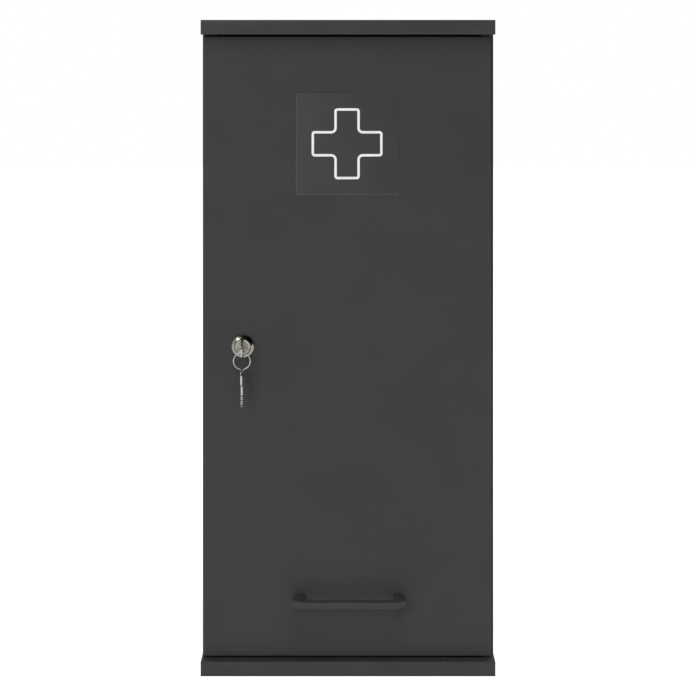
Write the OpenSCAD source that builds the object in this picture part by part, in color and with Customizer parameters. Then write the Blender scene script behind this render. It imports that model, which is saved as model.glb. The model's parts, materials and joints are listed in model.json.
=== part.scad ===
// Lockable medicine cabinet: a melamine-faced board carcass with a single overlay door that
// turns on pivot hinges between the overhanging top and bottom boards, a key-operated rim lock,
// three adjustable shelves and a rail for fixing it to a wall.
// Origin: centre of the bottom board's underside. +X to the right, the door faces -Y, +Z up.

/* [Cabinet] */
// Overall width
cabinet_w = 380; // [320:10:600]
// Overall height
cabinet_h = 846; // [760:2:1200]
// Front-to-back depth of the side panels
side_depth = 300; // [240:10:400]
// Thickness of the carcass boards
board_t = 19; // [18:0.5:25]
// How far the top and bottom boards stand out past the door
board_overhang = 14; // [4:1:30]
// Thickness of the plastic edging on the boards
edging_t = 1; // [0.6:0.1:2]

/* [Door] */
// Thickness of the door
door_t = 19; // [18:0.5:25]
// Gap above and below the door
door_end_gap = 2.5; // [1.5:0.1:4]
// How far the door stops short of the cabinet's left side, where it locks
lock_side_reveal = 2.2; // [1.5:0.1:4]
// How far the door stops short of the cabinet's right side, where it turns
hinge_side_reveal = 4.6; // [2:0.1:6]
// Gap between the door and the side panels' front edges
door_back_gap = 2; // [1.8:0.1:4]
// Diameter of the stick-on door buffers
buffer_d = 8; // [5:0.5:12]
// Distance of each buffer from the door's nearer end
buffer_inset = 60; // [30:5:150]

/* [Back and wall fixing] */
// Thickness of the back panel
back_t = 8; // [5:0.5:10]
// Depth of the grooves that hold the back panel
groove_depth = 5; // [3:0.5:8]
// Height of the hanging rail
rail_h = 100; // [80:5:150]
// Thickness of the hanging rail
rail_t = 19; // [16:1:25]
// Distance between the two wall screw holes
wall_hole_spacing = 256; // [160:32:256]
// Diameter of the wall screw holes
wall_hole_d = 8; // [5:0.5:10]
// Outer diameter of the steel washers at the wall screw holes
wall_washer_d = 24; // [18:1:32]
// Thickness of those washers
wall_washer_t = 2; // [1:0.5:3]

/* [Shelves] */
// Thickness of a shelf
shelf_t = 19; // [16:0.5:22]
// Gap between a shelf and each side panel
shelf_side_gap = 0.5; // [0.3:0.1:2]
// How far the shelves stand back from the side panels' front edges
shelf_setback = 25; // [24:1:60]
// Diameter of the shelf pin holes
pin_hole_d = 5; // [4:0.5:6]
// Depth of the shelf pin holes
pin_hole_depth = 10; // [8:0.5:12]
// Distance from one shelf pin hole to the next
pin_pitch = 32; // [30:1:34]
// Distance of the hole rows from the side panels' front edges and from the back panel
row_setback = 37; // [30:1:50]
// Height of the lowest shelf pin hole above the bottom board
first_hole_h = 64; // [60:1:80]
// Which hole from the bottom carries the lower shelf
lower_shelf_hole = 5; // [3:1:7]
// Which hole from the bottom carries the middle shelf
middle_shelf_hole = 11; // [9:1:13]
// Which hole from the bottom carries the upper shelf
upper_shelf_hole = 17; // [15:1:19]
// Length of a shelf pin's supporting tab
pin_tab_l = 8; // [5:0.5:12]
// Thickness of a shelf pin's supporting tab
pin_tab_t = 3; // [2:0.5:4]

/* [Carcass joints] */
// Diameter of a cam housing
cam_d = 15; // [12:0.5:18]
// Length of a cam housing
cam_l = 12.5; // [11:0.5:13.5]
// Distance of a cam's centre from the end of its side panel
cam_inset = 24; // [22:1:34]
// Diameter of a cam bolt's shank
cam_bolt_d = 6; // [5:0.5:7]
// How deep a cam bolt or a dowel goes into the top or bottom board
board_bore_depth = 10; // [8:0.5:12]
// Diameter of a cover cap
cap_d = 17; // [16:0.5:20]
// Thickness of a cover cap
cap_t = 1.2; // [0.8:0.1:2]
// Diameter of a wooden dowel
dowel_d = 8; // [6:1:10]
// Length of a wooden dowel
dowel_l = 30; // [25:1:40]
// Distance from a cam bolt to its dowel
dowel_spacing = 32; // [24:1:48]

/* [Hinges] */
// Diameter of the pivot pins
pivot_d = 6; // [5:0.5:6.5]
// Distance of the pivot from the door's right-hand edge
pivot_from_edge = 6; // [5.5:0.1:6.5]
// Distance of the pivot from the door's back face
pivot_from_back = 11.5; // [11:0.1:12]
// Length of a pin beyond the gap
pivot_reach = 10; // [8:0.5:15]
// Length of a hinge plate
hinge_plate_l = 60; // [50:1:90]
// Width of a hinge plate
hinge_plate_w = 14; // [13:0.5:15]
// Thickness of a hinge plate
hinge_plate_t = 3; // [2.5:0.1:4]
// Outer diameter of the spacing washers
hinge_washer_d = 12; // [9:0.5:13]

/* [Handle] */
// Distance between the handle's screws
handle_centres = 128; // [96:32:192]
// Height of the handle's centre above the door's lower edge
handle_h = 76.3; // [60:0.1:140]
// Width of each post
handle_post_w = 12; // [9:0.5:16]
// Height of the bar and the posts
handle_bar_h = 8.5; // [7:0.5:14]
// Front-to-back thickness of the bar
handle_bar_t = 10; // [6:0.5:14]
// How far the handle stands out from the door
handle_projection = 35; // [28:1:50]
// How far the posts lean outwards on their way to the bar
handle_splay = 4; // [0:0.5:8]
// Width of the slant at each outer corner
handle_corner_w = 13.5; // [5:0.5:16]
// How far to the right of the door's centre the handle sits
handle_off_centre = 2.8; // [-10:0.1:10]
// Diameter of the handle's screws
handle_screw_d = 4; // [3:0.5:5]
// How deep the handle's screws go into its posts
handle_screw_reach = 10; // [6:0.5:14]

/* [Label] */
// Side of the square label
label_size = 132; // [60:1:200]
// Thickness of the label
label_t = 0.8; // [0.4:0.1:2]
// Distance of the label's centre below the door's top edge
label_drop = 139; // [110:1:200]
// Overall size of the cross on the label
cross_size = 92; // [30:1:110]
// Width of the cross's arms
cross_arm_w = 33; // [12:1:40]
// Width of the line that draws the cross
cross_line_w = 3.2; // [1.5:0.1:4]
// Thickness of the cross
cross_t = 0.2; // [0.1:0.1:0.6]

/* [Lock] */
// Distance of the lock's centre from the door's left-hand edge
lock_from_edge = 51.6; // [50:0.2:60]
// Height of the lock's centre above the door's lower edge
lock_h = 401.5; // [380:0.5:440]
// Outer diameter of the rosette
rosette_d = 30; // [26:0.5:40]
// Thickness of the rosette
rosette_t = 4; // [2:0.5:6]
// Outer diameter of the lock barrel
barrel_d = 20.6; // [18:0.1:22]
// Diameter of the turning plug
plug_d = 13; // [12.6:0.1:14]
// Thickness of the barrel's and the case's sheet metal
case_wall = 1.5; // [1:0.1:2]
// Gap between the lock case and the side panel
case_side_gap = 3; // [2.5:0.1:4]
// Width of the lock case
case_w = 56; // [54:1:64]
// Height of the lock case
case_h = 60; // [56:1:80]
// Depth of the lock case
case_depth = 22; // [22:0.1:23]
// Height of the cover plate with its screw flanges
cover_h = 84; // [82:1:110]
// How far the bolt travels
bolt_throw = 10; // [8:0.5:10.5]
// Height of the bolt's head
bolt_head_h = 14; // [10:0.5:16]
// Thickness of the bolt
bolt_t = 8; // [6:0.5:8]
// Diameter of the cam's drive pin
drive_pin_d = 4; // [3:0.5:5]
// Height of the strike plate
strike_h = 50; // [44:1:70]
// Width of the strike plate
strike_w = 18; // [16:0.5:20]
// Thickness of the strike plate
strike_t = 1.5; // [1:0.1:2.5]

/* [Keys] */
// Thickness of a key
key_t = 2.4; // [2:0.1:2.6]
// Width and length of a key's bow
bow_size = 26; // [22:0.5:28]
// Corner radius of the bow
bow_r = 8; // [4:0.5:10]
// Diameter of the hole in the bow
bow_hole_d = 10; // [7:0.5:11]
// Distance of that hole's centre from the bow's outer end
bow_hole_inset = 9; // [7.5:0.5:10]
// Length of a key's blade
blade_l = 25.5; // [20:0.5:26]
// Width of a key's blade
blade_w = 7.8; // [6.5:0.1:8.2]
// Outer diameter of the split ring
ring_d = 23; // [22:0.5:30]
// Diameter of the split ring's wire
ring_wire_d = 1.5; // [1.2:0.1:2.2]

/* [Hidden] */
$fn = 48;

// Colours
anthracite = "#414142";
anthracite_edge = "#39393a";
steel = "#b9bbbd";
zinc = "#9fa2a5";
nickel = "#d3d4d6";
brass_col = "#c9a45a";
beech = "#c8a77c";
black = "#1c1c1d";
white = "#f2f2f2";

// Clearances
cut = 1;               // how far a cutting shape runs past the face it cuts
seat_gap = 0.1;        // a let-in piece to its pocket, each side
groove_gap = 0.1;      // back panel to the groove, each face
groove_end_gap = 0.3;  // back panel to the groove's bottom
hole_gap = 0.05;       // screw, pin or dowel to its hole, on the radius
running_gap = 0.05;    // turning pin or plug to its bore, on the radius
slide_gap = 0.3;       // sliding bolt, spring and key to their guides
bore_end_gap = 1;      // a dowel's or bolt's end to the bottom of its hole
buffer_gap = 0.2;      // buffer to the side panel with the door shut
barrel_gap = 0.2;      // lock barrel to the door's hole, on the radius
sheet_gap = 0.1;       // lock barrel to the cover's and the rosette's holes, on the radius
keyway_gap = 0.2;      // key's blade to the keyway, each side
window_side_gap = 0.1; // keyway to a wafer's window, each side
window_end_gap = 0.15; // keyway to a wafer's window, top and bottom

// Planes of the carcass
board_depth = side_depth + door_back_gap + door_t + board_overhang;
back_y = board_depth / 2;
front_y = -board_depth / 2;
side_front_y = back_y - side_depth;
half_w = cabinet_w / 2;
inner_half_w = half_w - board_t;
floor_z = board_t;
ceiling_z = cabinet_h - board_t;
rail_front_y = back_y - rail_t;
back_front_y = rail_front_y - back_t;
rail_z = ceiling_z - rail_h;
wall_hole_z = ceiling_z - rail_h / 2;

// Planes of the door
door_back_y = side_front_y - door_back_gap;
door_front_y = door_back_y - door_t;
door_left_x = lock_side_reveal - half_w;
door_right_x = half_w - hinge_side_reveal;
door_mid_x = (door_left_x + door_right_x) / 2;
door_z = floor_z + door_end_gap;
door_top_z = ceiling_z - door_end_gap;

// Screws of the hanging rail
rail_screw_d = 4;
rail_screw_head_d = 8;
rail_screw_l = 24;
rail_screw_inset = 20;

// Shelves and hole rows
shelf_front_y = side_front_y + shelf_setback;
shelf_back_gap = 0.5;
shelf_half_w = inner_half_w - shelf_side_gap;
row_y = [side_front_y + row_setback, back_front_y - row_setback];
hole_rows = floor((ceiling_z - floor_z - 2 * first_hole_h + pin_pitch / 2) / pin_pitch);
shelf_hole = [lower_shelf_hole - 1, middle_shelf_hole - 1, upper_shelf_hole - 1];
pin_d = pin_hole_d - 2 * hole_gap;

// Carcass joints
cam_end_gap = 0.5;
cam_pocket_l = cam_l + cam_end_gap;
panel_mid = half_w - board_t / 2;
dowel_y = [row_y[0] + dowel_spacing, row_y[1] - dowel_spacing];
cam_bolt_bore_d = 8;
cam_bolt_thread_d = 5;
cam_bolt_head_d = 6.5;
cam_bolt_head_h = 3.5;
cam_bolt_neck_d = 4;
cam_bolt_neck_l = 3;
cam_bolt_head_gap = 0.5;
cam_rim_t = 1.5;
cam_recess_w = 2.5;
cam_recess_h = 2.5;

// Hinges
pivot_x = door_right_x - pivot_from_edge;
pivot_y = door_back_y - pivot_from_back;
hinge_plate_inset = 2;
hinge_plate_x = door_right_x - hinge_plate_inset - hinge_plate_l;
hinge_plate_y = door_back_y - door_t / 2;
hinge_screw_d = 3.5;
hinge_screw_head_d = 7;
hinge_frame_screw_l = 14;
hinge_door_screw_l = 20;
hinge_screw_at = [10, 30];
hinge_washer_gap = 0.2;
hinge_washer_bore = pivot_d + 2 * hinge_washer_gap;
pivot_socket_gap = 0.5;

// Label
label_z = door_top_z - label_drop;

// Handle
handle_x = door_mid_x + handle_off_centre;
handle_z = door_z + handle_h;
handle_half_w = handle_centres / 2 + handle_post_w / 2;
handle_inner_r = 2;
handle_screw_head_d = 8;
handle_screw_head_h = 2.5;
handle_screw_slack = 0.5;
handle_recess_l = 5;
handle_recess_depth = 1.5;
recess_slot_w = 1;

// Lock, from the front backwards
lock_x = door_left_x + lock_from_edge;
lock_z = door_z + lock_h;
barrel_front_y = door_front_y - rosette_t;
plug_recess = 0.2;
plug_front_y = barrel_front_y + plug_recess;
rosette_chamfer = 1;
case_left_x = -inner_half_w + case_side_gap;
case_back_y = door_back_y + case_depth;
cover_back_y = door_back_y + case_wall;
flange_w = 2.5;
flange_d = barrel_d + 2 * flange_w;
barrel_back_y = cover_back_y + case_wall;
keyway_end_gap = 0.5;
keyway_depth = blade_l + keyway_end_gap;
plug_end_t = 4;
plug_back_y = plug_front_y + keyway_depth + plug_end_t;
cam_disc_t = 2.5;
cam_back_y = plug_back_y + cam_disc_t;
cam_screw_d = 4;
cam_screw_head_d = 7;
cam_screw_head_h = 1.8;
cam_screw_l = 5.5;
cam_screw_recess_l = 4;
cam_screw_recess_depth = 1;
bolt_front_y = cam_back_y + cam_screw_head_h + slide_gap;
bolt_back_y = bolt_front_y + bolt_t;
bolt_mid_y = bolt_front_y + bolt_t / 2;
lock_screw_d = 3.5;
lock_screw_head_d = 6.5;
lock_screw_l = 15;
lock_screw_inset = 8;

// The drive pin swings from 45 degrees right of the top to 45 degrees left of it, which moves
// the bolt by its throw.
drive_r = bolt_throw / sqrt(2);
drive_x = lock_x + bolt_throw / 2;
drive_z = lock_z + bolt_throw / 2;
drive_slot_gap = 0.45;
cam_disc_rim = 1;
cam_disc_d = 2 * (drive_r + drive_pin_d / 2 + cam_disc_rim);
drive_pin_end_gap = 2;
drive_slot_low = drive_z - drive_pin_d / 2 - drive_slot_gap;
drive_slot_high = lock_z + drive_r + drive_pin_d / 2 + drive_slot_gap;
bolt_tip_x = case_left_x + slide_gap;
bolt_stop_gap = 1.2;
bolt_neck_lap = 1;
bolt_slot_side = 7;
bolt_slot_top = 3.4;
bolt_tail_drop = 12;
bolt_tail_x = bolt_tip_x + case_wall + bolt_throw + bolt_stop_gap;
bolt_end_x = drive_x + drive_pin_d / 2 + bolt_slot_side;
bolt_tail_low = lock_z - bolt_tail_drop;
bolt_tail_high = drive_slot_high + bolt_slot_top;
guide_t = 2;
spring_t = 0.6;
spring_nose_r = 1.2;
spring_inset = 1;
spring_w = bolt_t - 2 * spring_inset;
spring_z = bolt_tail_high + slide_gap + spring_nose_r;
spring_nose_x = (bolt_tail_x + bolt_end_x) / 2 - bolt_throw / 2;
spring_tongue_l = 6;
spring_end_inset = 2.5;
spring_block_w = 6;
spring_block_wall = 1.5;
spring_slot_end_t = 2;
spring_slot_back_gap = 0.2;
notch_depth = 1;
strike_hole_gap = 0.6;
mortise_end_gap = 4;
mortise_depth = bolt_throw - case_side_gap + mortise_end_gap;
strike_screw_d = 3;
strike_screw_head_d = 6;
strike_screw_l = 12;
strike_screw_inset = 7;

// Keys
bow_to_neck = bow_size - bow_hole_inset;
neck_l = 2;
neck_w = 11;
neck_lap = 1;
key_stop_gap = 0.3;
key_hole_y = plug_front_y - key_stop_gap - neck_l - bow_to_neck;
key_notch_pitch = 2.8;
key_notch_depth = 0.8;
key_notches = 5;
blade_point_l = 3;
keyway_w = key_t + 2 * keyway_gap;
keyway_h = blade_w + 2 * keyway_gap;
wafer_t = 1;
wafer_pitch = 3;
wafer_w = 6.4;
wafers = 5;
first_wafer = 5;
wafer_end_gap = 0.1;
wafer_window_w = keyway_w + 2 * window_side_gap;
wafer_window_h = keyway_h + 2 * window_end_gap;
ring_link_gap = 0.3;
ring_r = (ring_d - ring_wire_d) / 2;
ring_pivot_z = lock_z - bow_hole_d / 2 + ring_link_gap + ring_wire_d / 2;
ring_z = ring_pivot_z - ring_r;
spare_pivot_z = ring_z - ring_r;
spare_hole_z = spare_pivot_z + ring_wire_d / 2 + ring_link_gap - bow_hole_d / 2;

// ---------- Shared shapes ----------

// A block between two corners
module block(low, high) {
  translate(low) cube(high - low);
}

// The same thing twice, the second mirrored top to bottom
module top_and_bottom() {
  children();
  translate([0, 0, cabinet_h]) mirror([0, 0, 1]) children();
}

// The same thing twice, the second mirrored left to right
module left_and_right() {
  children();
  mirror([1, 0, 0]) children();
}

// A countersunk screw with its head's face at the origin, pointing down. grow makes its hole.
module screw(d, l, head_d, grow = 0) {
  r = d / 2 + grow;
  head_r = head_d / 2 + grow;
  tip = d;
  recess_w = d * 0.28;
  recess_depth = d * 0.4;
  difference() {
    rotate_extrude()
      polygon([[0, 0], [head_r, 0], [r, -(head_r - r)], [r, -(l - tip) - grow], [0, -l - grow]]);
    if (grow == 0)
      for (turn = [0, 90])
        rotate([0, 0, turn])
          translate([-head_r / 2, -recess_w / 2, -recess_depth]) cube([head_r, recess_w, d]);
  }
}

// What a cross recess takes out of a flat head that lies along Y
module cross_recess(l, w, depth) {
  for (turn = [0, 90]) rotate([0, turn, 0])
    translate([-l / 2, -depth, -w / 2]) cube([l, depth + cut, w]);
}

// A cylinder that lies along Y and starts at y = 0
module along_y(d, l) {
  rotate([-90, 0, 0]) cylinder(d = d, h = l);
}

// A cylinder that lies along X and starts at x = 0
module along_x(d, l) {
  rotate([0, 90, 0]) cylinder(d = d, h = l);
}

// A ring of edging round a flat panel in XY
module edging_ring(half_x, y_low, y_high, z_low, z_high) {
  difference() {
    block([-half_x, y_low, z_low], [half_x, y_high, z_high]);
    block([-half_x + edging_t, y_low + edging_t, z_low - cut],
          [half_x - edging_t, y_high - edging_t, z_high + cut]);
  }
}

// ---------- Carcass ----------

// Places its children at each carcass joint's cam bolt axis on the right, on the board's face
module at_cams() {
  for (y = row_y) translate([panel_mid, y, floor_z]) children();
}

// Places its children at each carcass joint's dowel axis on the right, on the board's face
module at_dowels() {
  for (y = dowel_y) translate([panel_mid, y, floor_z]) children();
}

// What the bottom board loses to the joints, the back panel and the hinge plate
module board_cuts() {
  left_and_right() {
    at_cams() translate([0, 0, -board_bore_depth - bore_end_gap])
      cylinder(d = cam_bolt_thread_d + 2 * hole_gap, h = board_bore_depth + bore_end_gap + cut);
    at_dowels() translate([0, 0, -board_bore_depth - bore_end_gap])
      cylinder(d = dowel_d + 2 * hole_gap, h = board_bore_depth + bore_end_gap + cut);
  }
  block([-inner_half_w - groove_depth, back_front_y - groove_gap, floor_z - groove_depth],
        [inner_half_w + groove_depth, rail_front_y + groove_gap, floor_z + cut]);
  hinge_plate_pocket(floor_z - hinge_plate_t, floor_z + cut);
  at_hinge_screws(floor_z)
    screw(hinge_screw_d, hinge_frame_screw_l, hinge_screw_head_d, hole_gap);
}

// The bottom board's core, without its edging
module board_core() {
  difference() {
    block([-half_w + edging_t, front_y + edging_t, 0],
          [half_w - edging_t, back_y - edging_t, board_t]);
    board_cuts();
  }
}

module top_board() {
  color(anthracite) translate([0, 0, cabinet_h]) mirror([0, 0, 1]) board_core();
}

module bottom_board() {
  color(anthracite) board_core();
}

module top_board_edging() {
  color(anthracite_edge) edging_ring(half_w, front_y, back_y, ceiling_z, cabinet_h);
}

module bottom_board_edging() {
  color(anthracite_edge) edging_ring(half_w, front_y, back_y, 0, floor_z);
}

// What a side panel, drawn on the right, loses to the joints, the back panel and the shelf pins
module side_cuts() {
  top_and_bottom() {
    at_cams() translate([0, 0, -cut]) cylinder(d = cam_bolt_bore_d, h = cam_inset + cut);
    for (y = row_y)
      translate([inner_half_w - cut, y, floor_z + cam_inset])
        along_x(cam_d + 2 * hole_gap, cam_pocket_l + cut);
    at_dowels() translate([0, 0, -cut])
      cylinder(d = dowel_d + 2 * hole_gap, h = dowel_l - board_bore_depth + bore_end_gap + cut);
  }
  block([inner_half_w - cut, back_front_y - groove_gap, floor_z - cut],
        [inner_half_w + groove_depth, rail_front_y + groove_gap, ceiling_z + cut]);
  for (y = row_y, i = [0 : hole_rows - 1])
    translate([inner_half_w - cut, y, hole_z(i)]) along_x(pin_hole_d, pin_hole_depth + cut);
}

// Height of shelf pin hole number i
function hole_z(i) = floor_z + first_hole_h + i * pin_pitch;

// A side panel, drawn on the right
module side_core() {
  difference() {
    block([inner_half_w, side_front_y + edging_t, floor_z], [half_w, back_y, ceiling_z]);
    side_cuts();
  }
}

module right_side_panel() {
  color(anthracite) side_core();
}

// The left panel also has the mortise for the bolt
module left_side_panel() {
  color(anthracite) difference() {
    mirror([1, 0, 0]) side_core();
    strike_pocket();
    bolt_mortise();
    at_strike_screws() screw(strike_screw_d, strike_screw_l, strike_screw_head_d, hole_gap);
  }
}

module side_edgings() {
  color(anthracite_edge) left_and_right()
    block([inner_half_w, side_front_y, floor_z], [half_w, side_front_y + edging_t, ceiling_z]);
}

// Places its children at the two wall holes
module at_wall_holes() {
  for (side = [-1, 1]) translate([side * wall_hole_spacing / 2, 0, wall_hole_z]) children();
}

// Places its children at the rail screws, which go in from the front of the back panel
module at_rail_screws() {
  for (side = [-1, 1], z = [rail_z + rail_screw_inset, ceiling_z - rail_screw_inset])
    translate([side * (wall_hole_spacing / 2 - wall_washer_d), back_front_y, z])
      rotate([90, 0, 0]) children();
}

module back_panel() {
  reach = groove_depth - groove_end_gap;
  color(anthracite) difference() {
    block([-inner_half_w - reach, back_front_y, floor_z - reach],
          [inner_half_w + reach, rail_front_y, ceiling_z + reach]);
    at_wall_holes() translate([0, back_front_y - cut, 0]) along_y(wall_hole_d, back_t + 2 * cut);
    at_rail_screws() screw(rail_screw_d, rail_screw_l, rail_screw_head_d, hole_gap);
  }
}

module hanging_rail() {
  color(beech) difference() {
    block([-inner_half_w + seat_gap, rail_front_y, rail_z],
          [inner_half_w - seat_gap, back_y, ceiling_z]);
    at_wall_holes() translate([0, rail_front_y - cut, 0]) along_y(wall_hole_d, rail_t + 2 * cut);
    at_rail_screws() screw(rail_screw_d, rail_screw_l, rail_screw_head_d, hole_gap);
  }
}

module rail_screws() {
  color(steel) at_rail_screws() screw(rail_screw_d, rail_screw_l, rail_screw_head_d);
}

module wall_washers() {
  color(steel) at_wall_holes() difference() {
    translate([0, back_front_y - wall_washer_t, 0]) along_y(wall_washer_d, wall_washer_t);
    translate([0, back_front_y - wall_washer_t - cut, 0])
      along_y(wall_hole_d, wall_washer_t + 2 * cut);
  }
}

// ---------- Shelves ----------

// Height of the underside of shelf number i
function shelf_z(i) = hole_z(shelf_hole[i]) + pin_d / 2;

module shelf(i) {
  color(anthracite)
    block([-shelf_half_w, shelf_front_y + edging_t, shelf_z(i)],
          [shelf_half_w, back_front_y - shelf_back_gap, shelf_z(i) + shelf_t]);
}

module lower_shelf() { shelf(0); }
module middle_shelf() { shelf(1); }
module upper_shelf() { shelf(2); }

module shelf_edgings() {
  color(anthracite_edge) for (i = [0 : 2])
    block([-shelf_half_w, shelf_front_y, shelf_z(i)],
          [shelf_half_w, shelf_front_y + edging_t, shelf_z(i) + shelf_t]);
}

// One shelf pin on the right: a peg in the hole and a flat tab under the shelf
module shelf_pin() {
  collar_t = 1;
  collar_d = pin_d + 2 * collar_t;
  tab_w = collar_d;
  peg_l = pin_hole_depth - bore_end_gap;
  difference() {
    union() {
      translate([inner_half_w, 0, 0]) along_x(pin_d, peg_l);
      translate([inner_half_w - collar_t, 0, 0]) along_x(collar_d, collar_t);
      translate([inner_half_w - collar_t - pin_tab_l, -tab_w / 2, pin_d / 2 - pin_tab_t])
        cube([pin_tab_l + collar_t, tab_w, pin_tab_t]);
    }
    translate([inner_half_w - collar_t - pin_tab_l - cut, -collar_d, pin_d / 2])
      cube([pin_tab_l + collar_t + cut, 2 * collar_d, collar_d]);
  }
}

module shelf_pins() {
  color(steel) left_and_right() for (i = [0 : 2], y = row_y)
    translate([0, y, hole_z(shelf_hole[i])]) shelf_pin();
}

// ---------- Carcass joints ----------

// Places its children at each cam's axis on the panel's inner face, for all eight cams
module at_cam_faces() {
  left_and_right() top_and_bottom() for (y = row_y)
    translate([inner_half_w, y, floor_z + cam_inset]) children();
}

module cam_housings() {
  color(zinc) at_cam_faces() difference() {
    translate([cam_pocket_l - cam_l, 0, 0]) along_x(cam_d, cam_l);
    translate([panel_mid - inner_half_w, 0, -cam_inset])
      cylinder(d = cam_bolt_head_d + 2 * cam_bolt_head_gap, h = cam_inset + 2 * cam_bolt_head_gap);
    for (turn = [0, 90])
      rotate([turn, 0, 0])
        translate([0, -cam_recess_w / 2, -cam_d / 2 + cam_rim_t])
          cube([cam_recess_h, cam_recess_w, cam_d - 2 * cam_rim_t]);
  }
}

module cam_bolts() {
  shank_l = cam_inset - cam_bolt_head_h - cam_bolt_neck_l;
  color(zinc) left_and_right() top_and_bottom() at_cams() {
    translate([0, 0, -board_bore_depth]) cylinder(d = cam_bolt_thread_d, h = board_bore_depth);
    cylinder(d = cam_bolt_d, h = shank_l);
    translate([0, 0, shank_l]) cylinder(d = cam_bolt_neck_d, h = cam_bolt_neck_l);
    translate([0, 0, shank_l + cam_bolt_neck_l])
      cylinder(d = cam_bolt_head_d, h = cam_bolt_head_h);
  }
}

module cam_caps() {
  color(anthracite) at_cam_faces() translate([-cap_t, 0, 0]) along_x(cap_d, cap_t);
}

module wood_dowels() {
  color(beech) left_and_right() top_and_bottom() at_dowels()
    translate([0, 0, -board_bore_depth]) cylinder(d = dowel_d, h = dowel_l);
}

// ---------- Pivot hinges ----------

// A hinge plate's blank between two heights, grown for its pocket
module hinge_plate_pocket(z_low, z_high) {
  block([hinge_plate_x - seat_gap, hinge_plate_y - hinge_plate_w / 2 - seat_gap, z_low],
        [hinge_plate_x + hinge_plate_l + seat_gap,
         hinge_plate_y + hinge_plate_w / 2 + seat_gap, z_high]);
}

module hinge_plate_blank(z_low) {
  block([hinge_plate_x, hinge_plate_y - hinge_plate_w / 2, z_low],
        [hinge_plate_x + hinge_plate_l, hinge_plate_y + hinge_plate_w / 2,
         z_low + hinge_plate_t]);
}

// Places its children, which point down, at the hinge plate's screws at height z
module at_hinge_screws(z) {
  for (x = hinge_screw_at) translate([hinge_plate_x + x, hinge_plate_y, z]) children();
}

module hinge_frame_plates() {
  color(steel) top_and_bottom() difference() {
    hinge_plate_blank(floor_z - hinge_plate_t);
    translate([pivot_x, pivot_y, floor_z - hinge_plate_t - cut])
      cylinder(d = pivot_d, h = hinge_plate_t + 2 * cut);
    at_hinge_screws(floor_z) screw(hinge_screw_d, hinge_frame_screw_l, hinge_screw_head_d, hole_gap);
  }
}

module hinge_frame_screws() {
  color(steel) top_and_bottom() at_hinge_screws(floor_z)
    screw(hinge_screw_d, hinge_frame_screw_l, hinge_screw_head_d);
}

module hinge_pins() {
  color(steel) top_and_bottom()
    translate([pivot_x, pivot_y, floor_z - hinge_plate_t])
      cylinder(d = pivot_d, h = hinge_plate_t + door_end_gap + pivot_reach);
}

module hinge_washers() {
  color(black) top_and_bottom() translate([pivot_x, pivot_y, floor_z]) difference() {
    cylinder(d = hinge_washer_d, h = door_end_gap);
    translate([0, 0, -cut]) cylinder(d = hinge_washer_bore, h = door_end_gap + 2 * cut);
  }
}

module hinge_door_plates() {
  color(steel) top_and_bottom() difference() {
    hinge_plate_blank(door_z);
    translate([pivot_x, pivot_y, door_z - cut])
      cylinder(d = pivot_d + 2 * running_gap, h = hinge_plate_t + 2 * cut);
    at_hinge_screws(door_z) mirror([0, 0, 1])
      screw(hinge_screw_d, hinge_door_screw_l, hinge_screw_head_d, hole_gap);
  }
}

module hinge_door_screws() {
  color(steel) top_and_bottom() at_hinge_screws(door_z) mirror([0, 0, 1])
    screw(hinge_screw_d, hinge_door_screw_l, hinge_screw_head_d);
}

// What the door loses to its lower hinge plate
module door_hinge_cuts() {
  hinge_plate_pocket(door_z - cut, door_z + hinge_plate_t);
  translate([pivot_x, pivot_y, door_z])
    cylinder(d = pivot_d + 2 * pivot_socket_gap, h = pivot_reach + bore_end_gap);
  at_hinge_screws(door_z) mirror([0, 0, 1])
    screw(hinge_screw_d, hinge_door_screw_l, hinge_screw_head_d, hole_gap);
}

// ---------- Door ----------

module door_panel() {
  color(anthracite) difference() {
    block([door_left_x + edging_t, door_front_y, door_z + edging_t],
          [door_right_x - edging_t, door_back_y, door_top_z - edging_t]);
    top_and_bottom() door_hinge_cuts();
    translate([lock_x, door_front_y - cut, lock_z])
      along_y(barrel_d + 2 * barrel_gap, door_t + 2 * cut);
    at_lock_screws() screw(lock_screw_d, lock_screw_l, lock_screw_head_d, hole_gap);
    at_handle_screws() along_y(handle_screw_d + 2 * handle_screw_slack, door_t + 2 * cut);
  }
}

module door_edging() {
  color(anthracite_edge) difference() {
    block([door_left_x, door_front_y, door_z], [door_right_x, door_back_y, door_top_z]);
    block([door_left_x + edging_t, door_front_y - cut, door_z + edging_t],
          [door_right_x - edging_t, door_back_y + cut, door_top_z - edging_t]);
    top_and_bottom() door_hinge_cuts();
  }
}

module door_buffers() {
  color(black) for (z = [door_z + buffer_inset, door_top_z - buffer_inset])
    translate([-panel_mid, door_back_y, z]) along_y(buffer_d, door_back_gap - buffer_gap);
}

module label_plate() {
  color(anthracite_edge)
    block([door_mid_x - label_size / 2, door_front_y - label_t, label_z - label_size / 2],
          [door_mid_x + label_size / 2, door_front_y, label_z + label_size / 2]);
}

// A plain upright cross, drawn flat in XY as its outline
module cross_area(size, arm_w) {
  square([size, arm_w], center = true);
  square([arm_w, size], center = true);
}

module label_cross() {
  color(white) translate([door_mid_x, door_front_y - label_t, label_z])
    rotate([90, 0, 0]) linear_extrude(cross_t) difference() {
      cross_area(cross_size, cross_arm_w);
      cross_area(cross_size - 2 * cross_line_w, cross_arm_w - 2 * cross_line_w);
    }
}

// ---------- Handle ----------

// Places its children at the handle's screws, just in front of the door's front face
module at_handle_screws() {
  for (side = [-1, 1])
    translate([handle_x + side * handle_centres / 2, door_front_y - cut, handle_z])
      children();
}

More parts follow.
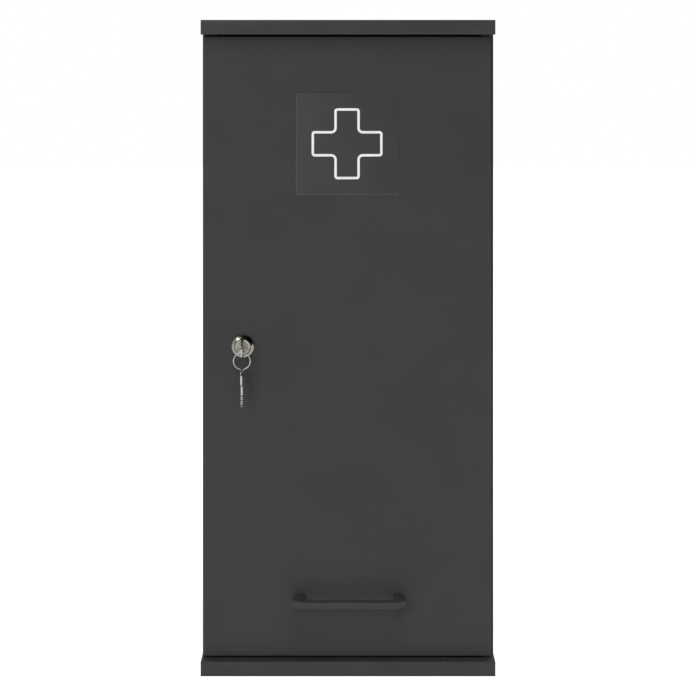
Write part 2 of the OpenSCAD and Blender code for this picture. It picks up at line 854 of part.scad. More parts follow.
// The gap behind the bar: a rectangle with its two lower corners rounded
module finger_gap(half_x, y_low, y_high, r) {
  translate([-half_x, y_low + r]) square([2 * half_x, y_high - y_low - r]);
  translate([-half_x + r, y_low]) square([2 * (half_x - r), y_high - y_low]);
  for (side = [-1, 1]) translate([side * (half_x - r), y_low + r]) circle(r = r);
}

// One half of the handle seen from above, from the door's centre outwards
module handle_half(back_y, front_y) {
  corner_x = handle_half_w + handle_splay;
  polygon([[0, back_y], [handle_half_w, back_y], [corner_x, front_y + handle_bar_t],
           [corner_x - handle_corner_w, front_y], [0, front_y]]);
}

module handle() {
  bar_y = door_front_y - handle_projection;
  color(anthracite_edge) difference() {
    translate([handle_x, 0, handle_z - handle_bar_h / 2])
      linear_extrude(handle_bar_h) difference() {
        for (side = [0, 1]) mirror([side, 0]) handle_half(door_front_y, bar_y);
        finger_gap(handle_half_w - handle_post_w, bar_y + handle_bar_t, door_front_y + cut,
                   handle_inner_r);
      }
    at_handle_screws() translate([0, cut - handle_screw_reach - bore_end_gap, 0])
      along_y(handle_screw_d + 2 * hole_gap, handle_screw_reach + bore_end_gap + cut);
  }
}

module handle_screws() {
  color(steel) at_handle_screws() {
    translate([0, cut - handle_screw_reach, 0]) along_y(handle_screw_d, handle_screw_reach + door_t);
    translate([0, cut + door_t, 0]) difference() {
      along_y(handle_screw_head_d, handle_screw_head_h);
      translate([0, handle_screw_head_h, 0])
        cross_recess(handle_recess_l, recess_slot_w, handle_recess_depth);
    }
  }
}

// ---------- Lock ----------

// Places its children, which point down, at the cover plate's four screws
module at_lock_screws() {
  flange_z = (case_h + cover_h) / 4;
  for (x = [case_left_x + lock_screw_inset, case_left_x + case_w - lock_screw_inset],
       side = [-1, 1])
    translate([x, cover_back_y, lock_z + side * flange_z])
      rotate([-90, 0, 0]) children();
}

module lock_cover() {
  color(steel) difference() {
    block([case_left_x, door_back_y, lock_z - cover_h / 2],
          [case_left_x + case_w, cover_back_y, lock_z + cover_h / 2]);
    translate([lock_x, door_back_y - cut, lock_z])
      along_y(barrel_d + 2 * sheet_gap, case_wall + 2 * cut);
    at_lock_screws() screw(lock_screw_d, lock_screw_l, lock_screw_head_d, hole_gap);
  }
}

// The case is a pressed tray, open towards the door, with a rib that guides the bolt and a block
// that holds the spring
module lock_case() {
  low = [case_left_x, cover_back_y, lock_z - case_h / 2];
  high = [case_left_x + case_w, case_back_y, lock_z + case_h / 2];
  half_wall = case_wall / 2;
  inner_back_y = case_back_y - case_wall;
  color(steel) difference() {
    union() {
      difference() {
        block(low, high);
        block(low + [case_wall, -cut, case_wall], high - [case_wall, case_wall, case_wall]);
      }
      block([low[0] + half_wall, bolt_front_y, bolt_tail_low - slide_gap - guide_t],
            [high[0] - half_wall, case_back_y - half_wall, bolt_tail_low - slide_gap]);
      block([high[0] - spring_block_w, bolt_front_y, spring_z - spring_t / 2 - spring_block_wall],
            [high[0] - half_wall, case_back_y - half_wall,
             spring_z + spring_t / 2 + spring_block_wall]);
    }
    bolt_window();
    block([high[0] - spring_block_w - cut, bolt_front_y - cut,
           spring_z - spring_t / 2 - hole_gap],
          [high[0] - spring_slot_end_t, inner_back_y - spring_slot_back_gap,
           spring_z + spring_t / 2 + hole_gap]);
  }
}

// The window in the case's left-hand wall that the bolt comes out of
module bolt_window() {
  past_wall = 0.01;
  block([case_left_x - cut, bolt_front_y - slide_gap, lock_z - bolt_head_h / 2 - slide_gap],
        [case_left_x + case_wall + past_wall, bolt_back_y + slide_gap,
         lock_z + bolt_head_h / 2 + slide_gap]);
}

module lock_screws() {
  color(steel) at_lock_screws() screw(lock_screw_d, lock_screw_l, lock_screw_head_d);
}

module lock_rosette() {
  r = rosette_d / 2;
  bore_r = barrel_d / 2 + sheet_gap;
  color(nickel) translate([lock_x, door_front_y, lock_z]) rotate([90, 0, 0]) rotate_extrude()
    polygon([[bore_r, 0], [r, 0], [r, rosette_t - rosette_chamfer],
             [r - rosette_chamfer, rosette_t], [bore_r, rosette_t]]);
}

module lock_barrel() {
  color(nickel) translate([lock_x, 0, lock_z]) difference() {
    union() {
      translate([0, barrel_front_y, 0]) along_y(barrel_d, barrel_back_y - barrel_front_y);
      translate([0, cover_back_y, 0]) along_y(flange_d, case_wall);
    }
    translate([0, barrel_front_y - cut, 0])
      along_y(plug_d + 2 * running_gap, barrel_back_y - barrel_front_y + 2 * cut);
  }
}

// A flat leaf spring whose nose rides on the bolt's tail and marks its two ends of travel
module bolt_spring() {
  y = bolt_front_y + spring_inset;
  color(steel) {
    block([spring_nose_x - spring_tongue_l, y, spring_z - spring_t / 2],
          [case_left_x + case_w - spring_end_inset, y + spring_w, spring_z + spring_t / 2]);
    translate([spring_nose_x, y, spring_z]) along_y(2 * spring_nose_r, spring_w);
  }
}

module lock_plug() {
  color(brass_col) translate([lock_x, 0, lock_z]) difference() {
    translate([0, plug_front_y, 0]) along_y(plug_d, plug_back_y - plug_front_y);
    translate([-keyway_w / 2, plug_front_y - cut, -keyway_h / 2])
      cube([keyway_w, keyway_depth + cut, keyway_h]);
    at_wafers() translate([-wafer_w / 2 - hole_gap, -hole_gap, -plug_d])
      cube([wafer_w + 2 * hole_gap, wafer_t + 2 * hole_gap, 2 * plug_d]);
    translate([0, cam_back_y - cam_screw_l - bore_end_gap, 0])
      along_y(cam_screw_d + 2 * hole_gap, cam_screw_l + bore_end_gap + cut);
  }
}

// Places its children at the front face of each wafer, relative to the lock's axis
module at_wafers() {
  for (i = [0 : wafers - 1])
    translate([0, plug_front_y + first_wafer + i * wafer_pitch, 0]) children();
}

module lock_wafers() {
  color(brass_col) translate([lock_x, 0, lock_z]) at_wafers() difference() {
    intersection() {
      translate([-wafer_w / 2, 0, -plug_d / 2]) cube([wafer_w, wafer_t, plug_d]);
      along_y(plug_d - 2 * wafer_end_gap, wafer_t);
    }
    translate([-wafer_window_w / 2, -cut, -wafer_window_h / 2])
      cube([wafer_window_w, wafer_t + 2 * cut, wafer_window_h]);
  }
}

module lock_cam() {
  color(zinc) difference() {
    union() {
      translate([lock_x, plug_back_y, lock_z]) along_y(cam_disc_d, cam_disc_t);
      translate([drive_x, plug_back_y, drive_z])
        along_y(drive_pin_d, bolt_back_y - drive_pin_end_gap - plug_back_y);
    }
    translate([lock_x, plug_back_y - cut, lock_z])
      along_y(cam_screw_d + 2 * hole_gap, cam_disc_t + 2 * cut);
  }
}

module cam_screw() {
  color(steel) translate([lock_x, cam_back_y, lock_z]) difference() {
    union() {
      along_y(cam_screw_head_d, cam_screw_head_h);
      translate([0, -cam_screw_l, 0]) along_y(cam_screw_d, cam_screw_l);
    }
    translate([0, cam_screw_head_h, 0])
      cross_recess(cam_screw_recess_l, recess_slot_w, cam_screw_recess_depth);
  }
}

module lock_bolt() {
  color(zinc) difference() {
    union() {
      block([bolt_tip_x, bolt_front_y, lock_z - bolt_head_h / 2],
            [bolt_tail_x + bolt_neck_lap, bolt_back_y, lock_z + bolt_head_h / 2]);
      block([bolt_tail_x, bolt_front_y, bolt_tail_low], [bolt_end_x, bolt_back_y, bolt_tail_high]);
    }
    block([drive_x - drive_pin_d / 2 - drive_slot_gap, bolt_front_y - cut, drive_slot_low],
          [drive_x + drive_pin_d / 2 + drive_slot_gap, bolt_back_y + cut, drive_slot_high]);
    for (x = [0, bolt_throw])
      translate([spring_nose_x + x, bolt_front_y - cut,
                 bolt_tail_high + spring_nose_r - notch_depth])
        along_y(2 * spring_nose_r, bolt_t + 2 * cut);
  }
}

// ---------- Strike ----------

module strike_blank(grow) {
  block([-inner_half_w - strike_t, bolt_mid_y - strike_w / 2 - grow, lock_z - strike_h / 2 - grow],
        [-inner_half_w, bolt_mid_y + strike_w / 2 + grow, lock_z + strike_h / 2 + grow]);
}

// The pocket that lets the strike plate in flush
module strike_pocket() {
  strike_blank(seat_gap);
}

module bolt_mortise() {
  gap = strike_hole_gap;
  block([-inner_half_w - mortise_depth, bolt_front_y - gap, lock_z - bolt_head_h / 2 - gap],
        [-inner_half_w + cut, bolt_back_y + gap, lock_z + bolt_head_h / 2 + gap]);
}

// Places its children, which point down, at the strike's screws
module at_strike_screws() {
  for (side = [-1, 1])
    translate([-inner_half_w, bolt_mid_y, lock_z + side * (strike_h / 2 - strike_screw_inset)])
      rotate([0, 90, 0]) children();
}

module strike_plate() {
  color(steel) difference() {
    strike_blank(0);
    bolt_mortise();
    at_strike_screws() screw(strike_screw_d, strike_screw_l, strike_screw_head_d, hole_gap);
  }
}

module strike_screws() {
  color(steel) at_strike_screws() screw(strike_screw_d, strike_screw_l, strike_screw_head_d);
}

// ---------- Keys ----------

// A key's outline in XY: its bow's hole at the origin and its blade along +X
module key_area() {
  half = bow_size / 2;
  past_edge = 0.01;
  tip_half_w = blade_w / 6;
  tip_x = bow_to_neck + neck_l + blade_l;
  first_notch = tip_x - blade_point_l - key_notch_depth - (key_notches - 1) * key_notch_pitch;
  difference() {
    union() {
      translate([-bow_hole_inset + bow_r, -half]) square([bow_size - 2 * bow_r, bow_size]);
      translate([-bow_hole_inset, -half + bow_r]) square([bow_size, bow_size - 2 * bow_r]);
      for (x = [-bow_hole_inset + bow_r, bow_to_neck - bow_r], side = [-1, 1])
        translate([x, side * (half - bow_r)]) circle(r = bow_r);
      translate([bow_to_neck - neck_lap, -neck_w / 2]) square([neck_l + neck_lap, neck_w]);
      polygon([[bow_to_neck, -blade_w / 2], [tip_x - blade_point_l, -blade_w / 2],
               [tip_x, -tip_half_w], [tip_x, tip_half_w],
               [tip_x - blade_point_l, blade_w / 2], [bow_to_neck, blade_w / 2]]);
    }
    circle(d = bow_hole_d);
    for (i = [0 : key_notches - 1], side = [-1, 1])
      translate([first_notch + i * key_notch_pitch, side * blade_w / 2])
        polygon([[-key_notch_depth, side * past_edge], [key_notch_depth, side * past_edge],
                 [0, -side * key_notch_depth]]);
  }
}

module key_blank() {
  translate([0, 0, -key_t / 2]) linear_extrude(key_t) key_area();
}

// The key stands on edge in the lock, its length along Y and its width along Z
module lock_key() {
  color(nickel) translate([lock_x, key_hole_y, lock_z])
    rotate([0, -90, 0]) rotate([0, 0, 90]) key_blank();
}

// The spare key hangs from the ring, its blade down and its width along Y
module spare_key() {
  color(nickel) translate([lock_x, key_hole_y, spare_hole_z])
    rotate([0, 90, 0]) key_blank();
}

module key_ring() {
  color(nickel) translate([lock_x, key_hole_y, ring_z]) rotate([90, 0, 0])
    rotate_extrude() translate([ring_r, 0]) circle(d = ring_wire_d, $fn = 24);
}

top_board();
top_board_edging();
bottom_board();
bottom_board_edging();
left_side_panel();
right_side_panel();
side_edgings();
back_panel();
hanging_rail();
rail_screws();
wall_washers();
lower_shelf();
middle_shelf();
upper_shelf();
shelf_edgings();
shelf_pins();
cam_housings();
cam_bolts();
cam_caps();
wood_dowels();
hinge_frame_plates();
hinge_frame_screws();
hinge_pins();
hinge_washers();
strike_plate();
strike_screws();
door_panel();
door_edging();
hinge_door_plates();
hinge_door_screws();
door_buffers();
handle();
handle_screws();
label_plate();
label_cross();
lock_case();
lock_cover();
lock_screws();
lock_rosette();
lock_barrel();
bolt_spring();
lock_plug();
lock_wafers();
lock_cam();
cam_screw();
lock_bolt();
lock_key();
key_ring();
spare_key();
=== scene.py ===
"""Looks of a lockable medicine cabinet, built round its CAD frame.

Metres, +Z up, the door faces -Y. Sizes below are in millimetres where their name ends in _MM.
"""

import json
import math

import bmesh
import bpy
from mathutils import Matrix, Vector


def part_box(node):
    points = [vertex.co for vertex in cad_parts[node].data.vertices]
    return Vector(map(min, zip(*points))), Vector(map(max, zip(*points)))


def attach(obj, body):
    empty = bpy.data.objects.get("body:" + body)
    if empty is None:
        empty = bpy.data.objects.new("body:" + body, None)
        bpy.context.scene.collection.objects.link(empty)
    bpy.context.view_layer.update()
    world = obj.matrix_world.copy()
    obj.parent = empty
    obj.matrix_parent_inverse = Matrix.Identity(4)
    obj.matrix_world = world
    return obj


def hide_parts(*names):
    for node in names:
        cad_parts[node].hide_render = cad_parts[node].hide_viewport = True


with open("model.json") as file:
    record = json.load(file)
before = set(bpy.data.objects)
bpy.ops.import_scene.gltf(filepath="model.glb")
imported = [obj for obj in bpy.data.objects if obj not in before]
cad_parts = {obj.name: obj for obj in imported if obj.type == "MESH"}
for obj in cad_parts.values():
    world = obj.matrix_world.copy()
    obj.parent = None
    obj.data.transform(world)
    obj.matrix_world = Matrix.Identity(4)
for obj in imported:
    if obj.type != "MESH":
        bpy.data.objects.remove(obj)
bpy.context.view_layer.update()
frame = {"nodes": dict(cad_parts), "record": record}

MM = 0.001
TAU = 2 * math.pi


# ---------------------------------------------------------------- sizes

# Radii of the arrises, too small for the CAD solids
EDGING_ROUND_MM = 0.8
HANDLE_ROUND_MM = 0.9
SIGN_ROUND_MM = 0.35
FILM_ROUND_MM = 0.04
KEY_ROUND_MM = 0.25
SHEET_ROUND_MM = 0.3
CASTING_ROUND_MM = 0.4
WOOD_ROUND_MM = 1.0

# An edge this sharp is an arris, this flat is none, and this sharp stays sharp in the shading
ARRIS_FROM_DEG = 40
FLAT_WITHIN_DEG = 1
SHARP_FROM_DEG = 35

# Points this near are one, in metres; the CAD's own triangles meet less exactly
SAME_POINT = 1e-7
SAME_CAD_POINT = 1e-6

# Edging
EDGING_T_MM = 1.0
EDGING_SEAM_MM = 0.04
PLATE_SLACK_MM = 0.1

# Handle, seen from above
POST_W_MM = 12.0
BAR_T_MM = 10.0
SPLAY_MM = 4.0
SLANT_W_MM = 13.5
SLANT_ROUND_MM = 3.0
INNER_ROUND_MM = 2.0

# Sign and its cross
SIGN_CORNER_MM = 1.0
CROSS_ARM_MM = 33.0
CROSS_LINE_MM = 3.2
CROSS_TIP_MM = 4.0

# Lock
BARREL_D_MM = 20.6
BARREL_EDGE_ROUND_MM = 0.9
FLANGE_D_MM = 25.6
FLANGE_T_MM = 1.5
PLUG_PLAY_MM = 0.05
PLUG_CHAMFER_MM = 0.35
ROSETTE_PLAY_MM = 0.15
ROSETTE_CHAMFER_MM = 0.3
ROSETTE_DROP_MM = 1.0
RIM_W_MM = 1.9
RIM_FOOT_MM = 1.0

# Keys
BOW_MM = 26.0
BOW_TOP_ROUND_MM = 12.0
BOW_NECK_ROUND_MM = 7.0
BOW_HOLE_D_MM = 10.0
BOW_HOLE_INSET_MM = 9.0
NECK_L_MM = 2.0
NECK_W_MM = 11.0
BLADE_W_MM = 7.8
BLADE_TIP_W_MM = 2.6
BLADE_POINT_MM = 3.0
KEY_NOTCH_PITCH_MM = 2.8
KEY_NOTCH_DEPTHS_MM = (0.8, 0.6, 0.7, 0.55, 0.75)
GROOVE_W_MM = 1.8
GROOVE_DEPTH_MM = 0.45
GROOVE_FROM_BOW_MM = 1.0
GROOVE_FROM_TIP_MM = 1.5
GROOVE_ROUND_SHARE = 0.7

# Split ring: its wire as shares of the CAD ring's thickness, and the jog between its two turns
WIRE_T_SHARE = 0.48
WIRE_W_SHARE = 0.85
WIRE_ROUND_MM = 0.25
JOG_DEG = 36
JOG_AT_DEG = 112
RING_STEPS = 220


# ---------------------------------------------------------------- mesh helpers


def new_object(name, data):
    """Puts a mesh or a curve in the scene under a name."""
    piece = bpy.data.objects.new(name, data)
    bpy.context.scene.collection.objects.link(piece)
    return piece


def from_bmesh(name, bm):
    """Turns a bmesh into an object with its faces outwards."""
    bmesh.ops.remove_doubles(bm, verts=bm.verts, dist=SAME_POINT)
    bmesh.ops.recalc_face_normals(bm, faces=bm.faces)
    mesh = bpy.data.meshes.new(name)
    bm.to_mesh(mesh)
    bm.free()
    return new_object(name, mesh)


def apply_modifiers(piece):
    """Replaces a piece's mesh by what its modifiers make of it."""
    bpy.context.view_layer.update()
    evaluated = piece.evaluated_get(bpy.context.evaluated_depsgraph_get())
    mesh = bpy.data.meshes.new_from_object(evaluated)
    piece.modifiers.clear()
    piece.data = mesh


def add_block(bm, low, high, radius=0.0, rounded=None):
    """Adds a block between two corners; rounded(edge) picks the edges that get the radius."""
    made = bmesh.ops.create_cube(bm, size=1.0)["verts"]
    for vert in made:
        vert.co = Vector(low[i] if vert.co[i] < 0 else high[i] for i in range(3))
    if radius:
        edges = {edge for vert in made for edge in vert.link_edges}
        chosen = [edge for edge in edges if rounded is None or rounded(edge)]
        bmesh.ops.bevel(
            bm, geom=chosen, offset=radius, segments=3, profile=0.5, affect="EDGES"
        )


def cut_away(piece, cutter):
    """Cuts a closed shape out of a piece and removes the shape."""
    change = piece.modifiers.new("cut", "BOOLEAN")
    change.object = cutter
    change.solver = "EXACT"
    apply_modifiers(piece)
    bpy.data.objects.remove(cutter)


def shade_by_angle(piece):
    """Smooth shading that keeps sharp edges."""
    piece.data.shade_smooth()
    piece.data.set_sharp_from_angle(angle=math.radians(SHARP_FROM_DEG))


def sweep(bm, sections, closed):
    """Skins a row of equal closed sections; closed joins the last one to the first."""
    rings = [[bm.verts.new(spot) for spot in section] for section in sections]
    pairs = list(zip(rings, rings[1:]))
    if closed:
        pairs.append((rings[-1], rings[0]))
    for near, far in pairs:
        for i in range(len(near)):
            j = (i + 1) % len(near)
            bm.faces.new((near[i], near[j], far[j], far[i]))
    if not closed:
        bm.faces.new(rings[0])
        bm.faces.new(rings[-1][::-1])


def lathe(name, profile_mm, centre, axis, steps=128):
    """Turns a closed outline of (radius, distance along the axis) round an axis."""
    turn = Vector((0, 0, 1)).rotation_difference(Vector(axis)).to_matrix()
    bm = bmesh.new()
    sections = []
    for step in range(steps):
        angle = TAU * step / steps
        sections.append(
            [
                Vector(centre)
                + turn @ Vector((r * math.cos(angle), r * math.sin(angle), along)) * MM
                for r, along in profile_mm
            ]
        )
    sweep(bm, sections, closed=True)
    piece = from_bmesh(name, bm)
    shade_by_angle(piece)
    return piece


def circle(radius, steps=48):
    """Outline of a circle round the origin."""
    turns = [TAU * i / steps for i in range(steps)]
    return [(radius * math.cos(turn), radius * math.sin(turn)) for turn in turns]


def fillet(corners, steps=6):
    """Outline with its corners rounded, each corner being (x, y, radius)."""
    points = []
    for i, (x, y, radius) in enumerate(corners):
        corner = Vector((x, y))
        if not radius:
            points.append(tuple(corner))
            continue
        back = (Vector(corners[i - 1][:2]) - corner).normalized()
        ahead = (Vector(corners[(i + 1) % len(corners)][:2]) - corner).normalized()
        half_angle = back.angle(ahead) / 2
        middle = corner + (back + ahead).normalized() * radius / math.sin(half_angle)
        cut = radius / math.tan(half_angle)
        start = corner + back * cut - middle
        end = corner + ahead * cut - middle
        for step in range(steps + 1):
            share = step / steps
            points.append(tuple(middle + start.slerp(end, share) * radius))
    return points


def quarter_turn(steps):
    """Angles from 0 to a quarter of a turn."""
    return [math.radians(90 * step / steps) for step in range(steps + 1)]


def flat_plate(name, loops_mm, thickness_mm, round_mm, place):
    """A flat plate with rounded arrises. The first loop is its outline, the others its holes.

    It is drawn in XY about z = 0 and put in place by a matrix.
    """
    curve = bpy.data.curves.new(name, "CURVE")
    curve.dimensions = "2D"
    curve.fill_mode = "BOTH"
    curve.extrude = (thickness_mm / 2 - round_mm) * MM
    curve.bevel_depth = round_mm * MM
    curve.bevel_resolution = 2
    curve.offset = -round_mm * MM
    for loop in loops_mm:
        spline = curve.splines.new("POLY")
        spline.points.add(len(loop) - 1)
        for point, (x, y) in zip(spline.points, loop):
            point.co = (x * MM, y * MM, 0, 1)
        spline.use_cyclic_u = True
    source = new_object(name + "_outline", curve)
    bpy.context.view_layer.update()
    evaluated = source.evaluated_get(bpy.context.evaluated_depsgraph_get())
    mesh = bpy.data.meshes.new_from_object(evaluated)
    bpy.data.objects.remove(source)
    bpy.data.curves.remove(curve)
    bm = bmesh.new()
    bm.from_mesh(mesh)
    bpy.data.meshes.remove(mesh)
    bmesh.ops.transform(bm, matrix=place, verts=bm.verts)
    piece = from_bmesh(name, bm)
    shade_by_angle(piece)
    return piece


def merged_copy(node):
    """A CAD part's shape with its triangles joined up and its flat faces whole."""
    bm = bmesh.new()
    bm.from_mesh(frame["nodes"][node].data)
    bmesh.ops.remove_doubles(bm, verts=bm.verts, dist=SAME_CAD_POINT)
    flat = math.radians(FLAT_WITHIN_DEG)
    bmesh.ops.dissolve_limit(bm, angle_limit=flat, verts=bm.verts, edges=bm.edges)
    return bm


def solids_of(node):
    """The points of each separate solid in a CAD part."""
    bm = merged_copy(node)
    seen = set()
    solids = []
    for first in bm.verts:
        if first in seen:
            continue
        seen.add(first)
        group = [first]
        for vert in group:
            for edge in vert.link_edges:
                other = edge.other_vert(vert)
                if other not in seen:
                    seen.add(other)
                    group.append(other)
        solids.append([vert.co.copy() for vert in group])
    bm.free()
    return solids


def corners_of(points):
    """Lowest and highest corner of the box round some points."""
    low = Vector(min(point[i] for point in points) for i in range(3))
    high = Vector(max(point[i] for point in points) for i in range(3))
    return low, high


def softened(node, radius_mm):
    """A copy of a CAD part with its arrises rounded."""
    piece = from_bmesh(node + "_softened", merged_copy(node))
    bevel = piece.modifiers.new("arris", "BEVEL")
    bevel.width = radius_mm * MM
    bevel.segments = 2
    bevel.limit_method = "ANGLE"
    bevel.angle_limit = math.radians(ARRIS_FROM_DEG)
    apply_modifiers(piece)
    shade_by_angle(piece)
    return piece


def finish_piece(piece, body, slot, nodes):
    """Gives a piece its finish, its body and the nodes that it stands for."""
    piece.data.materials.clear()
    piece.data.materials.append(MATERIALS[slot])
    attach(piece, body)
    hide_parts(*nodes)


# ---------------------------------------------------------------- materials


def srgb(code, alpha=1.0):
    """Turns an sRGB hex colour into Blender's linear one."""
    channels = [int(code[i : i + 2], 16) / 255 for i in (1, 3, 5)]
    linear = [c / 12.92 if c <= 0.04045 else ((c + 0.055) / 1.055) ** 2.4 for c in channels]
    return (*linear, alpha)


def add(tree, kind, inputs=None, **settings):
    """Adds a node, with its settings, its input values and its links."""
    node = tree.nodes.new(kind)
    for key, value in settings.items():
        setattr(node, key, value)
    for key, value in (inputs or {}).items():
        for item in value if isinstance(value, list) else [value]:
            if isinstance(item, bpy.types.NodeSocket):
                tree.links.new(item, node.inputs[key])
            else:
                node.inputs[key].default_value = item
    return node


def cleared_tree(owner):
    """The node tree of a material or of the world, emptied."""
    owner.use_nodes = True
    owner.node_tree.nodes.clear()
    return owner.node_tree


def grains(size_mm):
    """Scale of a noise texture whose grains are that wide."""
    return 1.0 / (size_mm * MM)


def start_material(name, surface):
    """A new material with a Principled shader; returns it, its tree, shader and coordinates."""
    material = bpy.data.materials.new(name)
    tree = cleared_tree(material)
    shader = add(tree, "ShaderNodeBsdfPrincipled", surface)
    add(tree, "ShaderNodeOutputMaterial", {"Surface": shader.outputs["BSDF"]})
    spot = add(tree, "ShaderNodeTexCoord").outputs["Object"]
    return material, tree, shader, spot


def noise(tree, spot, size_mm, detail=2.0):
    """Noise between 0 and 1 with grains of a size."""
    return add(
        tree, "ShaderNodeTexNoise", {"Vector": spot, "Scale": grains(size_mm), "Detail": detail}
    ).outputs["Fac"]


# Blender's noise seldom leaves these
NOISE_LOW = 0.3
NOISE_HIGH = 0.7


def mottle(tree, value, dark, light, low=NOISE_LOW, high=NOISE_HIGH):
    """Colour that goes from one tone to another with a value."""
    ramp = add(tree, "ShaderNodeValToRGB", {"Fac": value})
    ramp.color_ramp.elements[0].position = low
    ramp.color_ramp.elements[0].color = srgb(dark)
    ramp.color_ramp.elements[1].position = high
    ramp.color_ramp.elements[1].color = srgb(light)
    return ramp.outputs["Color"]


def between(tree, value, low, high):
    """A noise value stretched to lie between two limits."""
    limits = {
        "Value": value,
        "From Min": NOISE_LOW,
        "From Max": NOISE_HIGH,
        "To Min": low,
        "To Max": high,
    }
    return add(tree, "ShaderNodeMapRange", limits).outputs["Result"]


def bump(tree, height, depth_mm):
    """Surface relief of a depth from a height between 0 and 1."""
    relief = add(tree, "ShaderNodeBump", {"Height": height, "Distance": depth_mm * MM})
    return relief.outputs["Normal"]


def stretched(tree, spot, scale):
    """Coordinates scaled along X, Y and Z; a small number draws a pattern out that way."""
    return add(tree, "ShaderNodeMapping", {"Vector": spot, "Scale": scale}).outputs["Vector"]


def coated(name, specular, tones, tone_mm, polish, polish_mm, grain=None):
    """A coat, film or plastic: patches of tone, uneven polish and, on most, a fine grain.

    grain is the grain's width in millimetres, its detail and its depth in millimetres.
    """
    material, tree, shader, spot = start_material(name, {"Specular IOR Level": specular})
    links = tree.links
    links.new(mottle(tree, noise(tree, spot, tone_mm), *tones), shader.inputs["Base Color"])
    links.new(between(tree, noise(tree, spot, polish_mm), *polish), shader.inputs["Roughness"])
    if grain:
        grain_mm, detail, depth_mm = grain
        relief = bump(tree, noise(tree, spot, grain_mm, detail), depth_mm)
        links.new(relief, shader.inputs["Normal"])
    return material


def melamine():
    """Chipboard faced with resin-soaked decor paper, pressed against a pearl-textured plate.

    The press plate leaves a fine even grain about half a millimetre wide, drawn here twice as
    coarse so that it shows, and the resin skin gives a soft satin sheen.
    """
    return coated(
        "anthracite_melamine_board",
        specular=0.25,
        tones=("#353536", "#383839"),
        tone_mm=90,
        polish=(0.5, 0.58),
        polish_mm=60,
        grain=(1.0, 1.0, 0.05),
    )


def abs_edging():
    """Extruded ABS edging, glued on and scraped flush.

    It has no press grain, so it is smoother than the board, and the scraper leaves its arrises
    a little shinier.
    """
    return coated(
        "anthracite_abs_edging",
        specular=0.15,
        tones=("#3b3b3c", "#3f3f40"),
        tone_mm=45,
        polish=(0.38, 0.46),
        polish_mm=12,
        grain=(2.0, 0.0, 0.03),
    )


def powder_coat():
    """Polyester powder coat on a die-cast handle: fine orange peel about 1 mm wide, satin."""
    return coated(
        "anthracite_powder_coat",
        specular=0.2,
        tones=("#393939", "#3c3c3c"),
        tone_mm=20,
        polish=(0.36, 0.44),
        polish_mm=5,
        grain=(1.2, 1.5, 0.04),
    )


def painted_sign():
    """Matt lacquered aluminium sign: smoother than the board, so it shines a little more."""
    return coated(
        "anthracite_lacquered_sign",
        specular=0.3,
        tones=("#363637", "#3a3a3b"),
        tone_mm=60,
        polish=(0.42, 0.5),
        polish_mm=30,
        grain=(0.8, 1.0, 0.01),
    )


def sheared_aluminium():
    """The sign's bare edge, sheared after lacquering: bright, with fine drawn lines."""
    return metal("sheared_aluminium_edge", "#aeb0b2", "#c6c8ca", 0.3, 0.4, 0.01)


def cut_vinyl():
    """White cast vinyl cut by a knife: dense, smooth, very slightly uneven in tone."""
    return coated(
        "white_cut_vinyl",
        specular=0.4,
        tones=("#ececeb", "#f6f6f5"),
        tone_mm=8,
        polish=(0.35, 0.45),
        polish_mm=15,
    )


# A metal's patches of tone and of polish, and how far the polish goes either way
METAL_TONE_MM = 5
METAL_POLISH_MM = 2.5
METAL_SMOOTHER = 0.04
METAL_ROUGHER = 0.06

# How a metal's relief is drawn out along X, Y and Z
EVEN = (1.0, 1.0, 1.0)
ALONG_X = (0.05, 1.0, 1.0)

# How far the polish of moulded plastic goes either way
MOULD_SPREAD = 0.05


def metal(name, dark, light, roughness, line_mm, depth_mm, stretch=EVEN):
    """A metal surface: patches of tone, uneven polish and a fine relief or fine lines."""
    material, tree, shader, spot = start_material(name, {"Metallic": 1.0})
    links = tree.links
    tone = noise(tree, spot, METAL_TONE_MM)
    links.new(mottle(tree, tone, dark, light), shader.inputs["Base Color"])
    handled = noise(tree, spot, METAL_POLISH_MM, 3.0)
    polish = between(tree, handled, roughness - METAL_SMOOTHER, roughness + METAL_ROUGHER)
    links.new(polish, shader.inputs["Roughness"])
    lines = noise(tree, stretched(tree, spot, stretch), line_mm)
    links.new(bump(tree, lines, depth_mm), shader.inputs["Normal"])
    return material


def beech():
    """Planed beech: straight tight grain along X, about 4 mm between its darker lines.

    Short flecks, 1.5 mm wide, break the grain up, and the plane leaves it 0.1 mm deep.
    """
    material, tree, shader, spot = start_material("planed_beech", {"Roughness": 0.6})
    grain = noise(tree, stretched(tree, spot, (0.06, 1.0, 1.0)), 4, detail=4.0)
    fleck = noise(tree, stretched(tree, spot, (0.3, 1.0, 2.0)), 1.5, detail=1.0)
    both = add(tree, "ShaderNodeMath", {0: grain, 1: fleck, 2: 0.1}, operation="MULTIPLY_ADD")
    tone = mottle(tree, both.outputs[0], "#a9805a", "#cba680", low=0.2, high=0.5)
    tree.links.new(tone, shader.inputs["Base Color"])
    tree.links.new(bump(tree, grain, 0.1), shader.inputs["Normal"])
    return material


def moulded(name, dark, light, roughness, grain_mm):
    """Moulded plastic or rubber with the fine grain of a spark-eroded mould."""
    return coated(
        name,
        specular=0.4,
        tones=(dark, light),
        tone_mm=10,
        polish=(roughness - MOULD_SPREAD, roughness + MOULD_SPREAD),
        polish_mm=3,
        grain=(grain_mm, 1.0, 0.03),
    )


